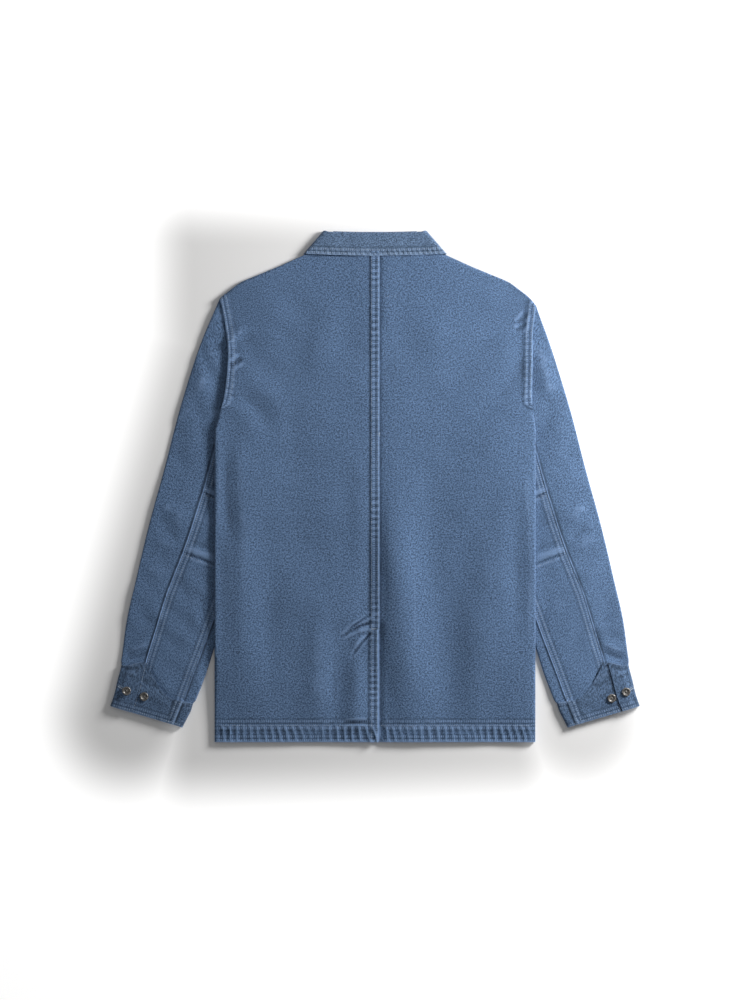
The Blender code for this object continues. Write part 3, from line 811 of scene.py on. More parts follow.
def beside(x, y, path):
    """How far points lie from a path, positive on its left, and how far along it, in mm."""
    best = np.full(x.shape, 1e9)
    side = np.zeros_like(x)
    run = np.zeros_like(x)
    done = 0.0
    for (x1, y1), (x2, y2) in zip(path, path[1:]):
        dx, dy = x2 - x1, y2 - y1
        length = math.hypot(dx, dy)
        share = np.clip(((x - x1) * dx + (y - y1) * dy) / length**2, 0, 1)
        gap = np.hypot(x - x1 - share * dx, y - y1 - share * dy)
        near = gap < best
        best = np.where(near, gap, best)
        side = np.where(near, np.sign((y - y1) * dx - (x - x1) * dy), side)
        run = np.where(near, done + share * length, run)
        done += length
    return best * side, run


def smoothed(values, times):
    """Heights averaged with their neighbours, this many times over."""
    for _ in range(times):
        edged_in = np.pad(values, 1, mode="edge")
        across, along = edged_in[1:-1], edged_in[:, 1:-1]
        beside_them = along[:-2] + along[2:] + across[:, :-2] + across[:, 2:]
        values = (beside_them + 4 * values) / 8
    return values


def pucker(run, seed, pitch=9.0):
    """Uneven waves along a seam, from -1 to 1."""
    here = run + 2.2 * lumps(run, run * 0, 16, seed)
    return np.sin(here * 2 * math.pi / pitch) * (0.55 + 0.45 * lumps(run, run * 0, 31, seed + 1))


def band(gap, run, width, seed, rise=1.0, waves=0.35):
    """A felled seam beside its edge line: a raised band with its puckers, and a groove outside it."""
    inside = soft((gap + 1.2) / 2.0) * soft((width + 2.0 - gap) / 3.5)
    ridge = np.exp(-(((gap - 1.6) / 1.5) ** 2))
    groove = np.exp(-(((gap + 2.4) / 1.8) ** 2))
    return inside * (rise + waves * pucker(run, seed)) + 0.45 * rise * ridge - 0.3 * rise * groove


# %% [markdown]
# ## Cloth
#
# Every piece starts as a flat grid that is moved point by point onto its shape. Three UV maps come with it.
# One measures the cloth itself in metres, so the weave follows the piece. One holds the distance to the
# nearest seam edge, which the material turns into worn ridges, painted highlights on their edges and
# painted shade in the grooves beside them, finer than the mesh. The last says how far each point stands
# above the cloth round it: washing pales what stands up, and what lies lower is darkened as painted shade.

# %% Cloth tools
pieces = {}


def placed(name, data):
    """A new object in the scene."""
    made = bpy.data.objects.new(name, data)
    bpy.context.scene.collection.objects.link(made)
    return made


def steps(first, last, count):
    """Even steps from one number up to another, without the last."""
    return [first + (last - first) * i / count for i in range(count)]


def turned(flat):
    """Grid lines over a flat stretch, then through the quarter turn at its end."""
    return [(share, 0.0) for share in flat] + [(flat[-1], angle) for angle in QUARTER]


def arc_lengths(points):
    """How far along a line each of its points lies."""
    return np.concatenate([[0.0], np.cumsum(np.linalg.norm(np.diff(points, axis=0), axis=1))])


def cloth(name, slot, columns, rows, surface, thickness, flip=False, relief=None, seams=None):
    """A thin shell of cloth, which stands for the node of this name.

    relief gives the height added to it in mm, seams the distance to a seam's edge and along it in mm.
    """
    across, along = len(columns) - 1, len(rows) - 1
    bm = bmesh.new()
    bmesh.ops.create_grid(bm, x_segments=across, y_segments=along, size=1)
    places = [(round((v.co.x + 1) / 2 * across), round((v.co.y + 1) / 2 * along)) for v in bm.verts]
    points = np.array([surface(columns[i], rows[j]) for i, j in places])
    table = np.zeros((across + 1, along + 1, 3))
    for (i, j), point in zip(places, points):
        table[i, j] = point
    x, y = table[..., 0] * 1000, table[..., 1] * 1000
    added = relief(x, y, table[..., 2] * 1000) if relief else np.zeros_like(x)
    # How far a point stands above the cloth round it: pale wear where it stands up, painted shade where it lies
    # lower.
    worn = np.clip((added - smoothed(added, 10)) / 0.45, -1, 1)
    table[..., 2] += added * MM
    gap, run = seams(x, y) if seams else (np.full(x.shape, 30.0), y)
    width = arc_lengths(table[:, along // 2])
    height = arc_lengths(table[across // 2])
    cloth_uv = bm.loops.layers.uv.new("Cloth")
    seam_uv = bm.loops.layers.uv.new("Seam")
    worn_and_shaded_uv = bm.loops.layers.uv.new("Worn")
    where = {}
    for vert, (i, j) in zip(bm.verts, places):
        vert.co = table[i, j]
        where[vert] = (i, j)
    for face in bm.faces:
        for loop in face.loops:
            i, j = where[loop.vert]
            loop[cloth_uv].uv = (width[i], height[j])
            loop[seam_uv].uv = (float(np.clip(gap[i, j], -30, 30)), float(run[i, j]))
            loop[worn_and_shaded_uv].uv = (float(worn[i, j]), 0.0)
    if flip:
        bmesh.ops.reverse_faces(bm, faces=bm.faces)
    mesh = bpy.data.meshes.new("grid")
    bm.to_mesh(mesh)
    bm.free()
    piece = placed(f"{name}_cloth", mesh)
    solid = piece.modifiers.new("Thickness", "SOLIDIFY")
    solid.offset = -1
    solid.thickness = thickness
    graph = bpy.context.evaluated_depsgraph_get()
    shell = bpy.data.meshes.new_from_object(piece.evaluated_get(graph))
    piece.modifiers.clear()
    piece.data = shell
    bpy.data.meshes.remove(mesh)
    shell.name = piece.name
    shell.shade_smooth()
    shell.set_sharp_from_angle(angle=math.radians(55))
    shell.materials.clear()
    shell.materials.append(finishes[slot])
    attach(piece, "root")
    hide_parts(name)
    pieces[name] = piece
    print(f"{name}: {len(shell.polygons)} faces, {width[-1] * 1000:.0f} x {height[-1] * 1000:.0f} mm of cloth")

# %% [markdown]
# ## The back
#
# Two panels. The left one carries the felled strip down the centre and laps over the right one in the vent.
# The hem is turned up and roped: as it shrank, the cloth twisted into slanted ribs.

# %% Seam lines of the body
HEM_BAND = 25.5  # hem edge to its stitching, in mm
ROPE_PITCH = 10.5  # from one rib of the roped hem to the next, in mm


def armhole(side):
    """The body's edge over the sleeve, from the fold of the side up to the shoulder, in mm."""
    heights = (112, 130, 150, 175, 200, 225, 250, 277 if side < 0 else 265)
    return [(side * edge_x(side, y * MM) * 1000, y) for y in heights]


def shoulder_line(side):
    return [(side * row.x, row.y) for row in SHOULDER]


def armhole_gap(side, x, y):
    """Distance from the armhole's edge into the body. Below the armhole it is large."""
    gap, run = beside(x, y, armhole(side))
    gap = np.abs(gap)
    low = soft((122 - y) / 22)
    return gap * (1 - low) + 40 * low, run


BACK_FOLDS = [
    Fold(30, 30, 56, -420, -3, 25, 4.2),
    Fold(100, -100, 110, -372, 4, 20, -1.0),
    Fold(138, -150, 146, -372, 4, 18, 0.9),
    Fold(168, -40, 176, -330, -6, 20, 1.1),
    Fold(206, 40, 208, -260, 4, 12, -0.9),
    Fold(-26, -240, -32, -376, 3, 14, 1.7),
    Fold(-58, -170, -60, -372, 3, 15, -1.1),
    Fold(-84, -150, -92, -360, 5, 20, 1.3),
    Fold(-140, -90, -150, -330, -8, 16, -1.1),
    Fold(-196, 20, -204, -300, 6, 16, 1.0),
    Fold(-216, 92, -205, -110, -6, 10, -1.2),
    Fold(-48, -219, 0, -186, 2, 1.6, -2.3),
    Fold(-42, -215, 0, -199, 1, 1.5, -2.2),
    Fold(-54, -224, -20, -208, 1, 2.0, -1.5),
    Fold(-34, -206, 2, -190, 1, 2.6, 0.9),
    Fold(-30, -214, -2, -208, -1, 3.0, 0.9),
    Fold(-1, -211, -37, -254, -2, 1.7, -1.9),
    Fold(-12, -214, -34, -242, -2, 5.0, 0.8),
    Fold(-50, -348, -2, -346.5, 0, 2.2, -1.6),
    Fold(-219, 172, -192, 190, 1, 3.6, -1.8),
    Fold(-222, 196, -186, 236, 4, 7, 1.3),
    Fold(-210, 150, -150, 70, 9, 13, -1.3),
    Fold(-204, 236, -120, 150, -12, 18, -1.2),
    Fold(-176, 262, -96, 214, 8, 16, 1.0),
    Fold(226, 258, 206, 236, 1, 3.2, -1.3),
    Fold(225, 245, 205, 226, 1, 3.2, -1.1),
    Fold(224, 200, 168, 118, 8, 13, -1.2),
    Fold(214, 236, 130, 158, 10, 17, 1.1),
    Fold(176, 262, 92, 226, -8, 16, -1.0),
    Fold(60, 300, 96, 170, 8, 20, 0.8),
    Fold(-52, 290, -84, 150, -8, 20, 0.9),
    Fold(-24, 60, -30, -190, 4, 12, 0.7),
    Fold(120, 60, 134, -70, 8, 26, 0.9),
    Fold(-112, 60, -118, -80, -8, 26, -0.8),
]


def back_seams(side):
    """Distance into the nearest felled band of a back panel."""

    def at(x, y):
        arm, arm_run = armhole_gap(side, x, y)
        hem = np.abs(y - HEM_Y * 1000)
        centre = (SEAM_X * 1000 - x) if side < 0 else np.where(x < 30, -(x - SEAM_X * 1000) - 0.6, 40)
        centre = np.where((side < 0) & (y < VENT_TOP_Y * 1000), VENT_EDGE_X * 1000 - x, centre)
        run = np.where(hem < arm, x, arm_run)
        gap = np.minimum(arm, np.where(hem < 13, hem, np.abs(hem - HEM_BAND) + 3.2))
        near = np.abs(centre) < gap
        return np.where(near, centre, gap), np.where(near, y, run)

    return at


def hem_relief(x, y, seed):
    """A turned hem: one step thicker, with slanted ribs where it has roped."""
    up = y - HEM_Y * 1000
    inside = 1 - soft((up - HEM_BAND + 1.5) / 3.0)
    slant = x + 0.16 * up + 3.4 * lumps(x, y, 34, seed)
    ribs = 0.8 - 1.6 * np.abs(np.sin(slant * math.pi / ROPE_PITCH)) ** 0.7
    middle = soft(up / 5) * soft((HEM_BAND - up) / 6)
    edge = np.exp(-(((up - 2.0) / 2.2) ** 2))
    pulled = np.exp(-(((up - HEM_BAND) / 2.0) ** 2)) * (0.45 + 0.3 * pucker(x, seed + 3, 8.0))
    return 0.9 * inside + 1.5 * ribs * middle * (0.7 + 0.5 * lumps(x, y, 45, seed + 1)) + 0.35 * edge - pulled


def back_relief(side):
    """The height added to a back panel. It fades where the cloth turns over its side and its shoulder."""

    def at(x, y, z):
        total = 1.4 * folds(x, y, BACK_FOLDS)
        total += 1.7 * lumps(x, y, 95, 3) + 0.8 * lumps(x, y, 42, 4) + 0.2 * lumps(x, y, 15, 5)
        arm, arm_run = armhole_gap(side, x, y)
        total += band(arm, arm_run, 12.5, 20 + side, rise=1.0, waves=0.3)
        total += hem_relief(x, y, 50 + side)
        if side < 0:
            edge = np.where(y > VENT_TOP_Y * 1000, SEAM_X * 1000, VENT_EDGE_X * 1000) - x
            total += band(edge, y, 13.0, 11, rise=1.2, waves=0.6)
        else:
            step = soft((x - SEAM_X * 1000 + 1) / 16)
            total = total * (0.35 + 0.65 * step) - 0.5 * np.exp(-(((x - SEAM_X * 1000 - 1.5) / 2.5) ** 2))
            under = soft((VENT_TOP_Y * 1000 + 10 - y) / 30) * soft((13 - x) / 9)
            total = total * (1 - under) + under * (np.minimum(total, -0.2) - 1.3 * soft((4 - x) / 4))
        below_armhole = soft((110 - y) / 20)
        to_side = (BODY_HALF * 1000 - np.abs(x)) / 14
        to_shoulder, _ = beside(x, y, shoulder_line(side))
        return total * (1 - below_armhole * (1 - soft(to_side))) * soft((np.abs(to_shoulder) + 1) / 6)

    return at


# %% Back panels
body_columns = turned(steps(0, 1, 10) + steps(1, 1.6, 32) + steps(1.6, 2, 13) + steps(2, 3, 56) + [3.0])
body_rows = turned([i / 330 for i in range(331)])


def make_back(side, name):
    def surface(col, row):
        inner, outer = back_inner(side), lambda y: edge_x(side, y)
        return body_point(side, col, row, inner, outer, shoulder_y, back_height(side), upper=True)

    cloth(
        name, "back", body_columns, body_rows, surface, SHELL, flip=side < 0,
        relief=back_relief(side), seams=back_seams(side),
    )


for side, label in SIDES:
    make_back(side, f"back_{label}")

# %% [markdown]
# ## The fronts
#
# They lie against the surface, so they show only where they fold round the sides and shoulders. They are
# finished plainly: the right front laps under the left one's placket, which holds the five buttons.

# %% Fronts
front_columns = turned(steps(0, 1, 6) + steps(1, 2, 16) + steps(2, 3, 26) + [3.0])
front_rows = turned([i / 130 for i in range(131)])


def make_front(side, name):
    def surface(col, row):
        return body_point(
            side, col, row, lambda y: -FRONT_LAP, front_edge(side), front_top, front_height(side), upper=False,
        )

    cloth(name, "front", front_columns, front_rows, surface, SHELL, flip=side > 0, seams=front_seams)


def front_seams(x, y):
    """The hem's wear, with its painted highlight and painted shade, is wider than a seam's, so its distance
    counts for less.
    """
    return np.abs(y - HEM_Y * 1000) * 0.42, x


for side, label in SIDES:
    make_front(side, f"front_{label}")

# %% [markdown]
# ## The sleeves
#
# Each sleeve is a flattened tube in two pieces. The top sleeve wraps over both folded edges and along the
# bottom. The under sleeve lies between the elbow seam and the underarm seam, and two darts in it give the
# elbow its room.

# %% Sleeve seams and folds
def from_above(spots):
    """The line through these points seen from above, in mm."""
    return [(spot.x * 1000, spot.y * 1000) for spot in spots]


def seam_path(side, name, first, last, count=16):
    """A sleeve seam's line seen from above, in mm."""
    reach = cuff_top("top", station(name, LAST - 1)) + INSERT
    column_of_seam = ("top", lambda at: station(name, at))
    places = steps(first, last, count) + [last]
    return from_above(sleeve_point(side, column_of_seam, place / reach) for place in places)


elbow_path = {side: seam_path(side, "elbow", 0.05, 7.3) for side in (-1, 1)}
under_path = {side: seam_path(side, "under", 0.05, 7.9) for side in (-1, 1)}
for side, label in SIDES:
    print(f"{label} elbow seam ends, mm:", [tuple(round(c) for c in elbow_path[side][end]) for end in (0, -1)])

# The same folds on both sleeves, with x measured outwards, then those that only one of them has.
SLEEVE_FOLDS = [
    Fold(258, -7, 224, -21, 0, 1.5, -1.4),
    Fold(288, -96, 226, -119, -1, 1.5, -1.5),
    Fold(256, -2, 226, -12, 0, 4.5, 0.5),
    Fold(286, -88, 228, -108, -1, 5, 0.6),
    Fold(246, 214, 262, 120, -4, 12.2, 0.93),
    Fold(262, 150, 244, 60, 4, 10.8, -0.87),
    Fold(300, 60, 262, 20, 3, 10.8, -0.62),
    Fold(316, -20, 272, -52, 3, 9.5, 0.74),
    Fold(318, -60, 286, -80, -2, 8.1, -0.74),
    Fold(338, -110, 302, -140, 3, 10.8, 0.62),
    Fold(300, -120, 262, -176, 4, 10.8, -0.74),
    Fold(350, -160, 330, -214, 2, 9.5, -0.62),
    Fold(296, -196, 262, -240, 4, 9.5, 0.68),
    Fold(262, -150, 246, -214, -2, 8.1, -0.62),
    Fold(372, -254, 331, -240, 3, 5.4, -0.87),
    Fold(366, -240, 328, -226, 3, 6.8, 0.74),
]
ONE_SIDED = {
    -1: [Fold(258, 226, 236, 150, 3, 6.8, -0.87), Fold(330, -176, 290, -230, -4, 9.5, 0.62)],
    1: [Fold(262, 222, 280, 150, 2, 12.2, -0.62), Fold(316, -204, 330, -246, 2, 6.8, -0.81)],
}
# The elbow darts' edges, with x measured outwards, in mm.
DARTS = (((250, -10.5), (230, -19.0)), ((279, -99), (236, -116.5)))


def sleeve_seams(side):
    """Distance into the band of the nearest seam or dart of a sleeve."""

    def at(x, y):
        elbow, run = beside(x, y, elbow_path[side])
        gap = -elbow * side
        under, under_run = beside(x, y, under_path[side])
        near = np.abs(under) < np.abs(gap)
        gap, run = np.where(near, under * side, gap), np.where(near, under_run, run)
        for dart in DARTS:
            off, dart_run = beside(np.abs(x), y, dart)
            near = (np.abs(off) < np.abs(gap)) & (gap < 0)
            gap, run = np.where(near, -off - 0.5, gap), np.where(near, dart_run, run)
        return gap, run

    return at


def sleeve_relief(side, upper):
    """The height added to a sleeve's upper layer where the body leaves it clear."""

    def at(x, y, z):
        on_top = soft((z - 2.2) / 2.0)
        total = 1.4 * (folds(np.abs(x), y, SLEEVE_FOLDS) + folds(np.abs(x), y, ONE_SIDED[side]))
        total += 1.2 * lumps(x, y, 60, 8 + side) + 0.6 * lumps(x, y, 26, 12 + side) + 0.18 * lumps(x, y, 11, 14)
        elbow, run = beside(x, y, elbow_path[side])
        outward = -elbow * side
        under, under_run = beside(x, y, under_path[side])
        inward = under * side
        if upper:
            total += band(outward, run, 10.5, 40 + side, rise=1.0, waves=0.55)
            total += 0.8 * band(inward, under_run, 9.0, 44 + side, rise=1.0, waves=0.5)
        else:
            total -= 0.35 * np.exp(-((elbow / 2.5) ** 2)) + 0.3 * np.exp(-((under / 2.5) ** 2))
        clear = soft((np.abs(x) - covered_to(y)) / 10)
        return total * on_top * clear

    return at


def covered_to(y):
    """x, in mm, inside which the body covers the sleeve."""
    keys = [-262, -246, -232, -195, -130, 94, 118, 134, 300]
    return np.interp(y, keys, [250, 236, 230, 226, 222, 222, 214, 208, 208])


# %% Sleeve panels
sleeve_rows = [i / 236 for i in range(237)]


def top_columns():
    """From the elbow seam round the outer fold, the bottom and the inner fold to the underarm seam."""
    elbow = seam_share("elbow", -SEAM / 2)
    under = seam_share("under", SEAM / 2)
    columns = [("top", between(elbow, 0.0, share)) for share in steps(0, 1, 22)]
    for span, count in (("outer", 9), ("bottom", 16), ("inner", 9)):
        columns += [(span, share) for share in steps(0, 1, count)]
    return columns + [("top", between(1.0, under, share)) for share in steps(0, 1, 8) + [1.0]]


def under_columns():
    elbow = seam_share("elbow", SEAM / 2)
    under = seam_share("under", -SEAM / 2)
    return [("top", between(elbow, under, share)) for share in steps(0, 1, 30) + [1.0]]


def make_sleeve(side, name, columns, upper):
    cloth(
        name, "sleeve", columns, sleeve_rows, lambda col, row: sleeve_point(side, col, row), SHELL,
        flip=(side > 0) == upper, relief=sleeve_relief(side, upper), seams=sleeve_seams(side),
    )


for side, label in SIDES:
    make_sleeve(side, f"top_sleeve_{label}", top_columns(), upper=True)
for side, label in SIDES:
    make_sleeve(side, f"under_sleeve_{label}", under_columns(), upper=False)

# %% [markdown]
# ## The cuffs
#
# One band round each wrist. The vent's outer end laps over its inner end, and buttons there. Pressed edges
# and a few creases from being buttoned are its only folds.

# %% Cuffs
CUFF_FOLDS = [
    Fold(376, -270, 340, -262, 2, 4, -0.9),
    Fold(350, -280, 312, -296, 3, 5, -0.9),
    Fold(330, -300, 300, -322, 3, 6, 0.8),
    Fold(372, -306, 384, -318, 1, 4, -0.7),
    Fold(300, -330, 322, -343, 1, 5, 0.7),
]


def cuff_line(side, spots):
    """A line on the upper side of a cuff, through places along it and shares of its width, in mm."""
    return from_above(ring(side, place, "top", share, CUFF_RIM, 0.0, 0.0, 0.0) for place, share in spots)


def cuff_seam_path(side):
    shares = [1 - share for share in steps(0, 1 - VENT_UNDER, 24) + [1 - VENT_UNDER]]
    return cuff_line(side, [(cuff_top("top", share), share) for share in shares])


def cuff_end_path(side):
    return cuff_line(side, [(LAST, share) for share in steps(0, 1, 10) + [1.0]])


def cuff_under_path(side):
    """The underarm seam, where it runs on over the cuff."""
    first = cuff_top("top", station("under", LAST - 1)) - 0.1
    return cuff_line(side, [(place, station("under", place)) for place in steps(first, LAST, 8) + [LAST]])


def vent_edge(side):
    """The edge of the cuff's lapped end."""
    over = VENT_OVER[side]
    return cuff_line(side, [(place, over) for place in steps(cuff_top("top", over), LAST, 8) + [LAST]])


def cuff_gaps(side, x, y):
    top, top_run = beside(x, y, cuff_seam_path(side))
    low, low_run = beside(x, y, cuff_end_path(side))
    return np.abs(top), top_run, np.abs(low), low_run


def cuff_seams(side):
    def at(x, y):
        top, top_run, low, low_run = cuff_gaps(side, x, y)
        under, under_run = beside(x, y, cuff_under_path(side))
        under = under * side
        top = np.where(under > 0, 30, top)
        gap, run = np.minimum(top, low), np.where(top < low, top_run, low_run)
        near = np.abs(under) < gap
        return np.where(near, under, gap), np.where(near, under_run, run)

    return at


def cuff_relief(side):
    def at(x, y, z):
        on_top = soft((z - 4.5) / 2.0)
        top, top_run, low, low_run = cuff_gaps(side, x, y)
        total = folds(np.abs(x), y, CUFF_FOLDS)
        total += 0.4 * lumps(x, y, 30, 60 + side) + 0.16 * lumps(x, y, 10, 63)
        total += 0.4 * np.exp(-(((top - 1.5) / 1.6) ** 2)) + 0.35 * np.exp(-(((low - 1.5) / 1.6) ** 2))
        total += 0.3 * pucker(top_run, 70 + side, 7.0) * np.exp(-(((top - 4.5) / 3.0) ** 2))
        total += 0.28 * pucker(low_run, 75 + side, 8.0) * np.exp(-(((low - 4.0) / 3.0) ** 2))
        under, under_run = beside(x, y, cuff_under_path(side))
        total += 0.7 * band(under * side, under_run, 9.0, 78 + side, rise=1.0, waves=0.5)
        return total * on_top

    return at


def make_cuff(side, name):
    over = VENT_OVER[side]
    columns = [("over", share) for share in (over, over - 0.012)]
    columns += [("over", share) for share in steps(over - 0.03, 0.0, 12)]
    for span, count in (("outer", 10), ("bottom", 18), ("inner", 10)):
        columns += [(span, share) for share in steps(0, 1, count)]
    columns += [("top", share) for share in steps(1, VENT_UNDER, 52) + [VENT_UNDER]]

    def surface(col, along):
        span, share = col
        lapped = span == "over"
        span = "top" if lapped else span
        start = cuff_top(span, share)
        place = start + (LAST - start) * along
        inset = CUFF_TAPER * (1 - ease(along / 0.3))
        spot = ring(side, place, span, share, CUFF_RIM, 0.0, inset, 0.0)
        if lapped:
            spot.z += CUFF_LAP * ease((share - 0.01) / 0.07)
        return spot

    cloth(
        name, "cuff", columns, [i / 44 for i in range(45)], surface, CUFF_SHELL, flip=side > 0,
        relief=cuff_relief(side), seams=cuff_seams(side),
    )


for side, label in SIDES:
    make_cuff(side, f"cuff_{label}")

# %% [markdown]
# ## The collar
#
# The fall comes over the back neck, folds at both sides and runs out to its points beneath. Its edge has
# roped like the hem. The stand below it shows only as a dark line under the roll.

# %% Collar
def fall_edge():
    """The edge of the collar's fall, in mm."""
    places = (-101, -80, -50, -25, 0, 25, 50, 80, 101)
    return [(x, FALL_Y * 1000 + FALL_BOW * (x / (FALL_HALF * 1000)) ** 2) for x in places]


def fall_seams(x, y):
    gap, run = beside(x, y, fall_edge())
    return np.abs(gap), run


def fall_relief(x, y, z):
    on_top = soft((z - 5.5) / 2.5)
    gap, run = beside(x, y, fall_edge())
    gap = np.abs(gap)
    slant = run + 0.5 * gap + 2.0 * lumps(run, gap, 20, 80)
    ribs = (np.abs(np.sin(slant * math.pi / 7.5)) - 0.5) * soft((13 - gap) / 7)
    total = 0.75 * ribs + 0.4 * np.exp(-(((gap - 1.5) / 1.7) ** 2))
    total += 0.6 * lumps(x, y, 32, 81) + 0.4 * lumps(x, y, 9, 82)
    total += folds(x, y, [Fold(-60, 350, -30, 368, 2, 4, -0.7), Fold(34, 352, 62, 366, 2, 5, -0.7)])
    return total * on_top


def leaf_point(line, place):
    """A point of the collar's roll or edge, at a place down its leaf on the front."""
    rows = range(len(LEAVES))
    measures = [[getattr(leaf, f"{line}_{axis}") for leaf in LEAVES] for axis in "xy"]
    return Vector([curve(rows, measure, place) for measure in measures]) * MM


def make_fall():
    ends = [i / 8 for i in range(8 * (len(LEAVES) - 1) + 1)]
    fold = steps(0, 1, 9)[1:]
    columns = [("leaf", -1, place) for place in reversed(ends)]
    columns += [("fold", -1, share) for share in fold]
    columns += [("back", 0, share) for share in steps(-1, 1, 110) + [1.0]]
    columns += [("fold", 1, share) for share in reversed(fold)]
    columns += [("leaf", 1, place) for place in ends]
    rows = turned(steps(1.0, 0.0, 24) + [0.0])
    half = FALL_TOP / 2
    radius = turn_radius(FALL_TOP - STAND_BASE, COLLAR_WALL)

    def surface(col, row):
        kind, side, at = col
        share, angle = row
        if kind == "back":
            curl = 1 - ease((abs(at) - 0.8) / 0.2)
            reach, _ = bend(radius, math.pi / 2, curl)
            up, drop = bend(radius, angle, curl)
            roll = Vector((ROLL_HALF * at, ROLL_Y - ROLL_DIP * (1 - at * at) - reach))
            edge = Vector((FALL_HALF * at, FALL_Y + FALL_BOW * MM * at * at))
            spot = roll.lerp(edge, share) + (roll - edge).normalized() * up
            return Vector((spot.x, spot.y, FALL_TOP - drop))
        place = 0 if kind == "fold" else at
        reach, _ = bend(radius, math.pi / 2, 0.0)
        up, _ = bend(radius, angle, 0.0)
        roll, edge = leaf_point("roll", place), leaf_point("edge", place)
        along = (roll - edge).normalized()
        spot = (roll - along * reach).lerp(edge, share) + along * up
        height = 0.0
        if kind == "fold":
            spot.x += half * math.sin(math.pi * at)
            height = half - half * math.cos(math.pi * at)
        return Vector((side * spot.x, spot.y, height))

    cloth("collar_fall", "collar", columns, rows, surface, COLLAR_SHELL, relief=fall_relief, seams=fall_seams)


def make_stand():
    radius = turn_radius(FALL_TOP - STAND_BASE, COLLAR_WALL)

    def surface(at, row):
        share, angle = row
        curl = 1 - ease((abs(at) - 0.8) / 0.2)
        up, drop = bend(radius, angle, curl)
        reach, _ = bend(radius, math.pi / 2, curl)
        roll = ROLL_Y - ROLL_DIP * (1 - at * at) - reach
        seam = NECK_Y + SEAM
        return Vector((ROLL_HALF * at, seam + (roll - seam) * share + up, STAND_BASE + drop))

    columns = [-0.86 + 1.72 * i / 50 for i in range(51)]
    rows = turned([i / 10 for i in range(11)])
    cloth("collar_stand", "collar", columns, rows, surface, COLLAR_SHELL, flip=True)


make_fall()
make_stand()

# %% [markdown]
# ## Stitches
#
# A stitch is one short rounded bar of thread. Each row of them follows a line drawn from above, dropped
# onto the cloth, and all the rows on a piece are joined in one mesh. A texture could draw them, but these
# catch the light and stand up at a seam's edge. Geometry nodes could scatter them too, for the same mesh in
# the end.

# %% Thread
def thread_material():
    """Spun thread: fine slanted plies, and a colour that has faded unevenly."""
    dark, light = (0.150, 0.215, 0.320, 1.0), (0.400, 0.480, 0.590, 1.0)
    material, tree, shader = plain("faded thread", (0.155, 0.225, 0.335), 0.85)
    place = object_place(tree)
    fade = spread(tree, noise(tree, place, 160, 2), 0.35, 0.65)
    wire(tree, blended(tree, fade, dark, light), shader.inputs["Base Color"])
    bumped(tree, noise(tree, place, 4200, 1), 0.4, 0.0001)
    return material


thread = thread_material()
Stitch = namedtuple("Stitch", "x y ahead length")
STITCH_LENGTH = 2.3
THREAD_WIDTH = 0.8
threads = {}  # the joined stitches on each piece


def stitch_shape():
    """One stitch lying along x, 1 long, as points and faces."""
    bm = bmesh.new()
    bmesh.ops.create_uvsphere(bm, u_segments=6, v_segments=4, radius=0.5)
    bm.verts.ensure_lookup_table()
    points = np.array([(v.co.z, v.co.x, v.co.y) for v in bm.verts])
    faces = [[v.index for v in face.verts] for face in bm.faces]
    bm.free()
    return points, faces


def offset(path, distance):
    """A path moved to its left, in mm."""
    moved = []
    for i, (x, y) in enumerate(path):
        x1, y1 = path[max(i - 1, 0)]
        x2, y2 = path[min(i + 1, len(path) - 1)]
        length = math.hypot(x2 - x1, y2 - y1)
        moved.append((x - (y2 - y1) / length * distance, y + (x2 - x1) / length * distance))
    return moved


def row_of(path, pitch=PITCH, length=STITCH_LENGTH, turn=0.0, wander=0.12):
    """Stitches along a path. turn sets them at an angle to it."""
    points = np.array(path, float)
    runs = arc_lengths(points)
    count = max(int(runs[-1] / pitch), 1)
    rng = np.random.default_rng(int(abs(points[0, 0] * 7 + points[-1, 1] * 3)) + count)
    made = []
    for i in range(count):
        at = (i + 0.5) * runs[-1] / count
        (x1, y1), (x, y), (x2, y2) = (
            [np.interp(at + step, runs, points[:, axis]) for axis in (0, 1)] for step in (-0.5, 0, 0.5)
        )
        ahead = math.atan2(y2 - y1, x2 - x1) + turn + rng.normal(0, 0.05)
        x, y = x + rng.normal(0, wander), y + rng.normal(0, wander)
        made.append(Stitch(x, y, ahead, length * rng.uniform(0.88, 1.1)))
    return made


def sew(name, onto, rows):
    """Drops every stitch onto the cloth below it and joins them in one mesh."""
    shape, shape_faces = stitch_shape()
    graph = bpy.context.evaluated_depsgraph_get()
    trees = [BVHTree.FromObject(pieces[node], graph) for node in onto]
    points, faces = [], []
    for stitch in (stitch for row in rows for stitch in row):
        above = Vector((stitch.x * MM, stitch.y * MM, 0.08))
        hits = [tree.ray_cast(above, Vector((0, 0, -1))) for tree in trees]
        hits = [hit for hit in hits if hit[0] is not None]
        if not hits:
            continue
        spot, normal = max(hits, key=lambda hit: hit[0].z)[:2]
        if normal.z < 0.5:
            continue
        ahead = Vector((math.cos(stitch.ahead), math.sin(stitch.ahead), 0))
        ahead = (ahead - normal * ahead.dot(normal)).normalized()
        across = normal.cross(ahead)
        sized = shape * (stitch.length * MM, THREAD_WIDTH * MM, THREAD_WIDTH * 0.8 * MM)
        lifted = np.array(spot + normal * 0.05 * MM)
        start = len(points) * len(shape)
        points.append(lifted + sized @ np.array([ahead, across, normal]))
        faces += [[start + i for i in face] for face in shape_faces]
    mesh = bpy.data.meshes.new(name)
    mesh.from_pydata(np.concatenate(points).tolist(), [], faces)
    mesh.shade_smooth()
    mesh.materials.append(thread)
    joined = placed(name, mesh)
    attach(joined, "root")
    threads.setdefault(onto[0], []).append(joined)
    print(f"{name}: {len(points)} stitches")


def bar(x, y, ahead, length):
    """The two ends of a short line through a point."""
    out_x, out_y = math.cos(ahead) * length / 2, math.sin(ahead) * length / 2
    return [(x - out_x, y - out_y), (x + out_x, y + out_y)]


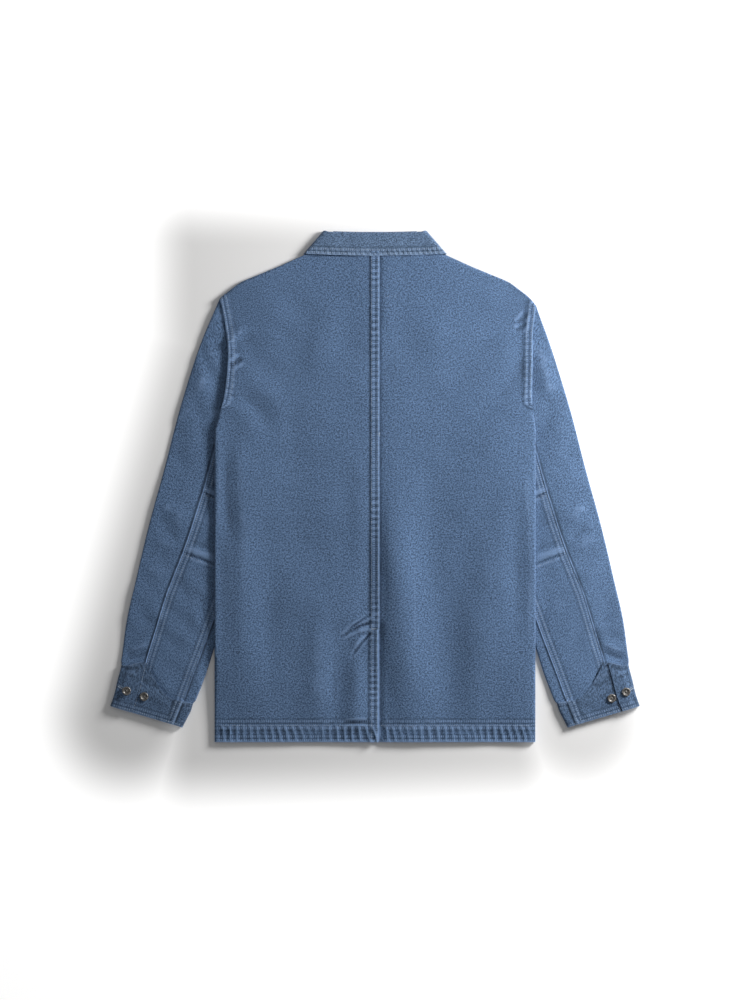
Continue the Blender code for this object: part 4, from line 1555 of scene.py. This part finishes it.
def tack(x, y, ahead, length):
    """A bar tack: close stitches across a short bar."""
    return row_of(bar(x, y, ahead, length), pitch=0.62, length=2.0, turn=math.pi / 2, wander=0.04)


def buttonhole(x, y, ahead, length):
    """Two close rows of stitches along a slit, with a bar tack at its end."""
    slit = bar(x, y, ahead, length)
    close = {"pitch": 0.6, "length": 1.7, "turn": math.pi / 2, "wander": 0.03}
    rows = [row_of(offset(slit, gap), **close) for gap in (-1.1, 1.1)]
    return rows + [tack(*slit[1], ahead + math.pi / 2, 3.2)]


# %% Rows on the body
def body_rows_of_stitches():
    hem = HEM_Y * 1000 + HEM_BAND - 1.5
    top, vent = 339, VENT_TOP_Y * 1000
    rows = [row_of([(-231, hem), (VENT_EDGE_X * 1000 - 2, hem)]), row_of([(8, hem), (231, hem)])]
    for x_top, x_low in ((SEAM_X * 1000 - 2.4, VENT_EDGE_X * 1000 - 2.4), (-5.2, -4.8)):
        rows.append(row_of([(x_top, top), (x_top, vent)]))
        rows.append(row_of([(x_low, vent - 3), (x_low, HEM_Y * 1000 + 3)]))
    for side in (-1, 1):
        for inset in (2.6, 9.6):
            rows.append(row_of(offset(armhole(side)[1:], side * inset)))
    rows += [tack(-0.5, vent - 0.5, 0.08, 10.5), tack(6.2, 76, math.pi / 2, 6.0)]
    for x1, x2 in ((-26, -12), (12, 32)):
        rows += [row_of([(x1, y), (x2, y + 1)], pitch=4.2, length=1.5) for y in (320, 279)]
    return rows


sew("thread_back", ["back_left", "back_right"], body_rows_of_stitches())

# %% Rows on the sleeves
def darts(side):
    return [
        row_of([(side * 250, -12.5), (side * 232, -20.5)]),
        row_of([(side * 279, -101), (side * 239, -118)]),
    ]


def sleeve_rows_of_stitches(side):
    rows = []
    for inset in (2.4, 8.6):
        rows.append(row_of(offset(elbow_path[side], -side * inset)))
        rows.append(row_of(offset(under_path[side], side * inset)))
    for gap in (3.0, 8.0):
        rows.append(row_of(offset(cuff_seam_path(side), -side * gap)))
    return rows + darts(side)


for side, label in SIDES:
    onto = [f"top_sleeve_{label}", f"under_sleeve_{label}"]
    sew(f"thread_sleeve_{label}", onto, sleeve_rows_of_stitches(side))

# %% Rows on the cuffs and the collar
def cuff_rows_of_stitches(side):
    rows = [row_of(offset(cuff_seam_path(side), side * 2.2)), row_of(offset(cuff_end_path(side), -side * 3.0))]
    rows.append(row_of(offset(vent_edge(side), -side * 2.4)))
    rows += [row_of(offset(cuff_under_path(side), side * inset)) for inset in (2.4, 8.0)]
    outer = next(row for row in CUFF_BUTTONS if row.side == side and row.part == "outer")
    return rows + buttonhole(outer.x + side * 4, outer.y + 2.4, math.atan2(6, side * 10), 19)


for side, label in SIDES:
    sew(f"thread_cuff_{label}", [f"cuff_{label}"], cuff_rows_of_stitches(side))
sew("thread_collar", ["collar_fall"], [row_of(offset(fall_edge(), gap)) for gap in (3.0, 9.0)])

# %% [markdown]
# ## Buttons
#
# Turned metal: a rolled rim round a dish, with the head of its rivet in the middle. Each is spun from its
# profile. Those on the fronts are beneath, so the CAD buttons stay there and take the same metal.

# %% Buttons
def metal():
    """Dark worn metal, brighter where it has rubbed."""
    dark, light = (0.13, 0.125, 0.12, 1.0), (0.42, 0.41, 0.40, 1.0)
    material, tree, shader = plain("dark worn metal", (0.12, 0.11, 0.10), 0.42, 0.85)
    place = object_place(tree)
    bright = spread(tree, noise(tree, place, 420, 3, 0.6), 0.4, 0.66)
    wire(tree, blended(tree, bright, dark, light), shader.inputs["Base Color"])
    wire(tree, spread(tree, noise(tree, place, 900, 2), 0.3, 0.7, 0.34, 0.6), shader.inputs["Roughness"])
    return material


button_metal = metal()
for number in range(1, FRONT_BUTTONS + 1):
    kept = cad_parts[f"front_button_{number}"].data.materials
    kept.clear()
    kept.append(button_metal)

BUTTON_PROFILE = (
    (0.0, 0.0), (0.8, 0.0), (0.93, 0.12), (1.0, 0.38), (1.0, 0.62), (0.95, 0.86), (0.86, 0.98), (0.76, 1.0),
    (0.66, 0.94), (0.58, 0.76), (0.53, 0.5), (0.46, 0.4), (0.3, 0.38), (0.25, 0.42), (0.23, 0.66), (0.17, 0.78),
    (0.08, 0.82), (0.0, 0.83),
)


def button(name, node, spot):
    mesh = bpy.data.meshes.new(name)
    bm = bmesh.new()
    radius = BUTTON_D / 2
    verts = [bm.verts.new((out * radius, 0.0, up * BUTTON_T)) for out, up in BUTTON_PROFILE]
    edges = [bm.edges.new(pair) for pair in zip(verts, verts[1:])]
    bmesh.ops.spin(
        bm, geom=verts + edges, cent=(0, 0, 0), axis=(0, 0, 1), angle=2 * math.pi, steps=48, use_merge=True,
    )
    bmesh.ops.remove_doubles(bm, verts=bm.verts, dist=0.01 * MM)
    bmesh.ops.recalc_face_normals(bm, faces=bm.faces)
    bmesh.ops.translate(bm, verts=bm.verts, vec=spot)
    bm.to_mesh(mesh)
    bm.free()
    mesh.shade_smooth()
    mesh.set_sharp_from_angle(angle=math.radians(60))
    mesh.materials.append(button_metal)
    made = placed(name, mesh)
    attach(made, "root")
    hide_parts(node)


for row in CUFF_BUTTONS:
    node = f"cuff_button_{'left' if row.side < 0 else 'right'}_{row.part}"
    low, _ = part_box(node)
    button(f"{node}_metal", node, Vector((row.x * MM, row.y * MM, low.z + 0.1 * MM)))
print(len(CUFF_BUTTONS), "cuff buttons")

# %% [markdown]
# ## Cut sizes
#
# Each sheet of cloth says how large it was cut, without its turned edges. Its shell's area is measured and
# printed beside that size.

# %% Sheets
def surface_area(piece):
    return sum(polygon.area for polygon in piece.data.polygons) / 2


Cut = namedtuple("Cut", "width length area rests_on")
CUTS = {
    "collar_fall": Cut(0.47, 0.06, 0.0215, ["collar_stand", "floor"]),
    "collar_stand": Cut(0.14, 0.032, 0.0038, ["front_left"]),
}
for side, label in SIDES:
    CUTS[f"back_{label}"] = Cut(0.25, 0.73, 0.168, [f"front_{label}", f"top_sleeve_{label}"])
    CUTS[f"front_{label}"] = Cut(0.26, 0.73, 0.165, ["floor"])
    CUTS[f"top_sleeve_{label}"] = Cut(0.28, 0.60, 0.112, ["floor"])
    CUTS[f"under_sleeve_{label}"] = Cut(0.11, 0.46, 0.032, [f"top_sleeve_{label}"])
    CUTS[f"cuff_{label}"] = Cut(0.26, 0.075, 0.015, ["floor"])

# %% [markdown]
# ## Floor, light and camera
#
# A pale floor under a straight-down camera with a long lens. A broad lamp low on the right makes every
# ridge and trough read, and the world and a second lamp above fill its shadows. The floor also emits light,
# less of it beside the jacket, so a shadow is painted round the jacket.

# %% Stage
floor_mesh = bpy.data.meshes.new("floor")
bm = bmesh.new()
bmesh.ops.create_grid(bm, x_segments=1, y_segments=1, size=4)
bmesh.ops.translate(bm, verts=bm.verts, vec=(0, 0, -0.2 * MM))
bm.to_mesh(floor_mesh)
bm.free()
floor = placed("floor", floor_mesh)
floor_finish, floor_tree, floor_shader = plain("pale floor with painted shadow", (0.93, 0.93, 0.93), 0.9)
floor_shader.inputs["Emission Color"].default_value = (1.0, 1.0, 1.0, 1.0)


def from_segment(tree, place, start, end):
    """Distance of a place from the line between two points."""
    start, end = Vector(start), Vector(end)
    away = vector_maths(tree, "SUBTRACT", place, tuple(start))
    dot = vector_maths(tree, "DOT_PRODUCT", away, tuple(end - start), "Value")
    share = tree.nodes.new("ShaderNodeClamp")
    wire(tree, sums(tree, "DIVIDE", dot, (end - start).length_squared), share.inputs[0])
    step = vector_maths(tree, "SCALE", tuple(end - start), share.outputs[0])
    return vector_maths(tree, "LENGTH", vector_maths(tree, "SUBTRACT", away, step), output="Value")


# Painted shadow: the floor emits light, but less of it beside the jacket, and more so on the side away from the
# light. Its distance from the jacket is that from the body's box or from a sleeve's middle line, whichever is
# less.
SHADE_SHIFT = (0.030, 0.022, 0.0)
BODY_CORNER = (BODY_HALF, -HEM_Y, 0.0)
SLEEVE_HALF = 45 * MM
floor_place = vector_maths(floor_tree, "MULTIPLY", object_place(floor_tree), (1.0, 1.0, 0.0))
shifted = vector_maths(floor_tree, "ADD", floor_place, SHADE_SHIFT)
beyond = vector_maths(floor_tree, "SUBTRACT", vector_maths(floor_tree, "ABSOLUTE", shifted), BODY_CORNER)
beyond = vector_maths(floor_tree, "MAXIMUM", beyond, (0.0, 0.0, 0.0))
nearest = vector_maths(floor_tree, "LENGTH", beyond, output="Value")
for side, _ in SIDES:
    arm = from_segment(floor_tree, shifted, (side * 0.20, 0.20, 0.0), (side * 0.335, -0.32, 0.0))
    nearest = sums(floor_tree, "MINIMUM", nearest, sums(floor_tree, "SUBTRACT", arm, SLEEVE_HALF))
floor_light_with_painted_shadow = spread(floor_tree, nearest, -0.005, 0.105, 0.02, 0.66)
wire(floor_tree, floor_light_with_painted_shadow, floor_shader.inputs["Emission Strength"])
floor_mesh.materials.append(floor_finish)

for name, piece in pieces.items():
    cut = CUTS[name]
    print(f"{name}: surface {surface_area(piece):.4f} m2, cut {cut.area:.4f} m2")
    rests_on = [floor if rest == "floor" else rest for rest in cut.rests_on]


def lamp(name, place, size, power, colour):
    """A square lamp that faces the jacket's middle."""
    light = bpy.data.lights.new(name, "AREA")
    light.size = size
    light.energy = power
    light.color = colour
    made = placed(name, light)
    made.location = place
    made.rotation_euler = (-Vector(place)).to_track_quat("-Z", "Y").to_euler()


lamp("key", (1.25, 0.62, 0.66), 0.5, 34, (1.0, 0.99, 0.98))
lamp("fill", (0.2, 0.4, 2.6), 2.4, 6, (1.0, 1.0, 1.0))

world = bpy.data.worlds.new("studio")
world.use_nodes = True
world.node_tree.nodes["Background"].inputs["Color"].default_value = (1.0, 1.0, 1.0, 1.0)
world.node_tree.nodes["Background"].inputs["Strength"].default_value = 0.14
bpy.context.scene.world = world
bpy.context.scene.view_settings.view_transform = "Standard"

# %% Camera
CAMERA_HEIGHT = 4.0
VIEW_HEIGHT = 1.470  # what the frame takes in, from top to bottom, at the height of the cloth
CLOTH_HEIGHT = 0.008
camera_data = bpy.data.cameras.new("camera")
camera_data.sensor_fit = "VERTICAL"
camera_data.sensor_height = 24
camera_data.lens = camera_data.sensor_height * (CAMERA_HEIGHT - CLOTH_HEIGHT) / VIEW_HEIGHT
camera = placed("camera", camera_data)
camera.location = (0, -0.020, CAMERA_HEIGHT)
bpy.context.scene.camera = camera
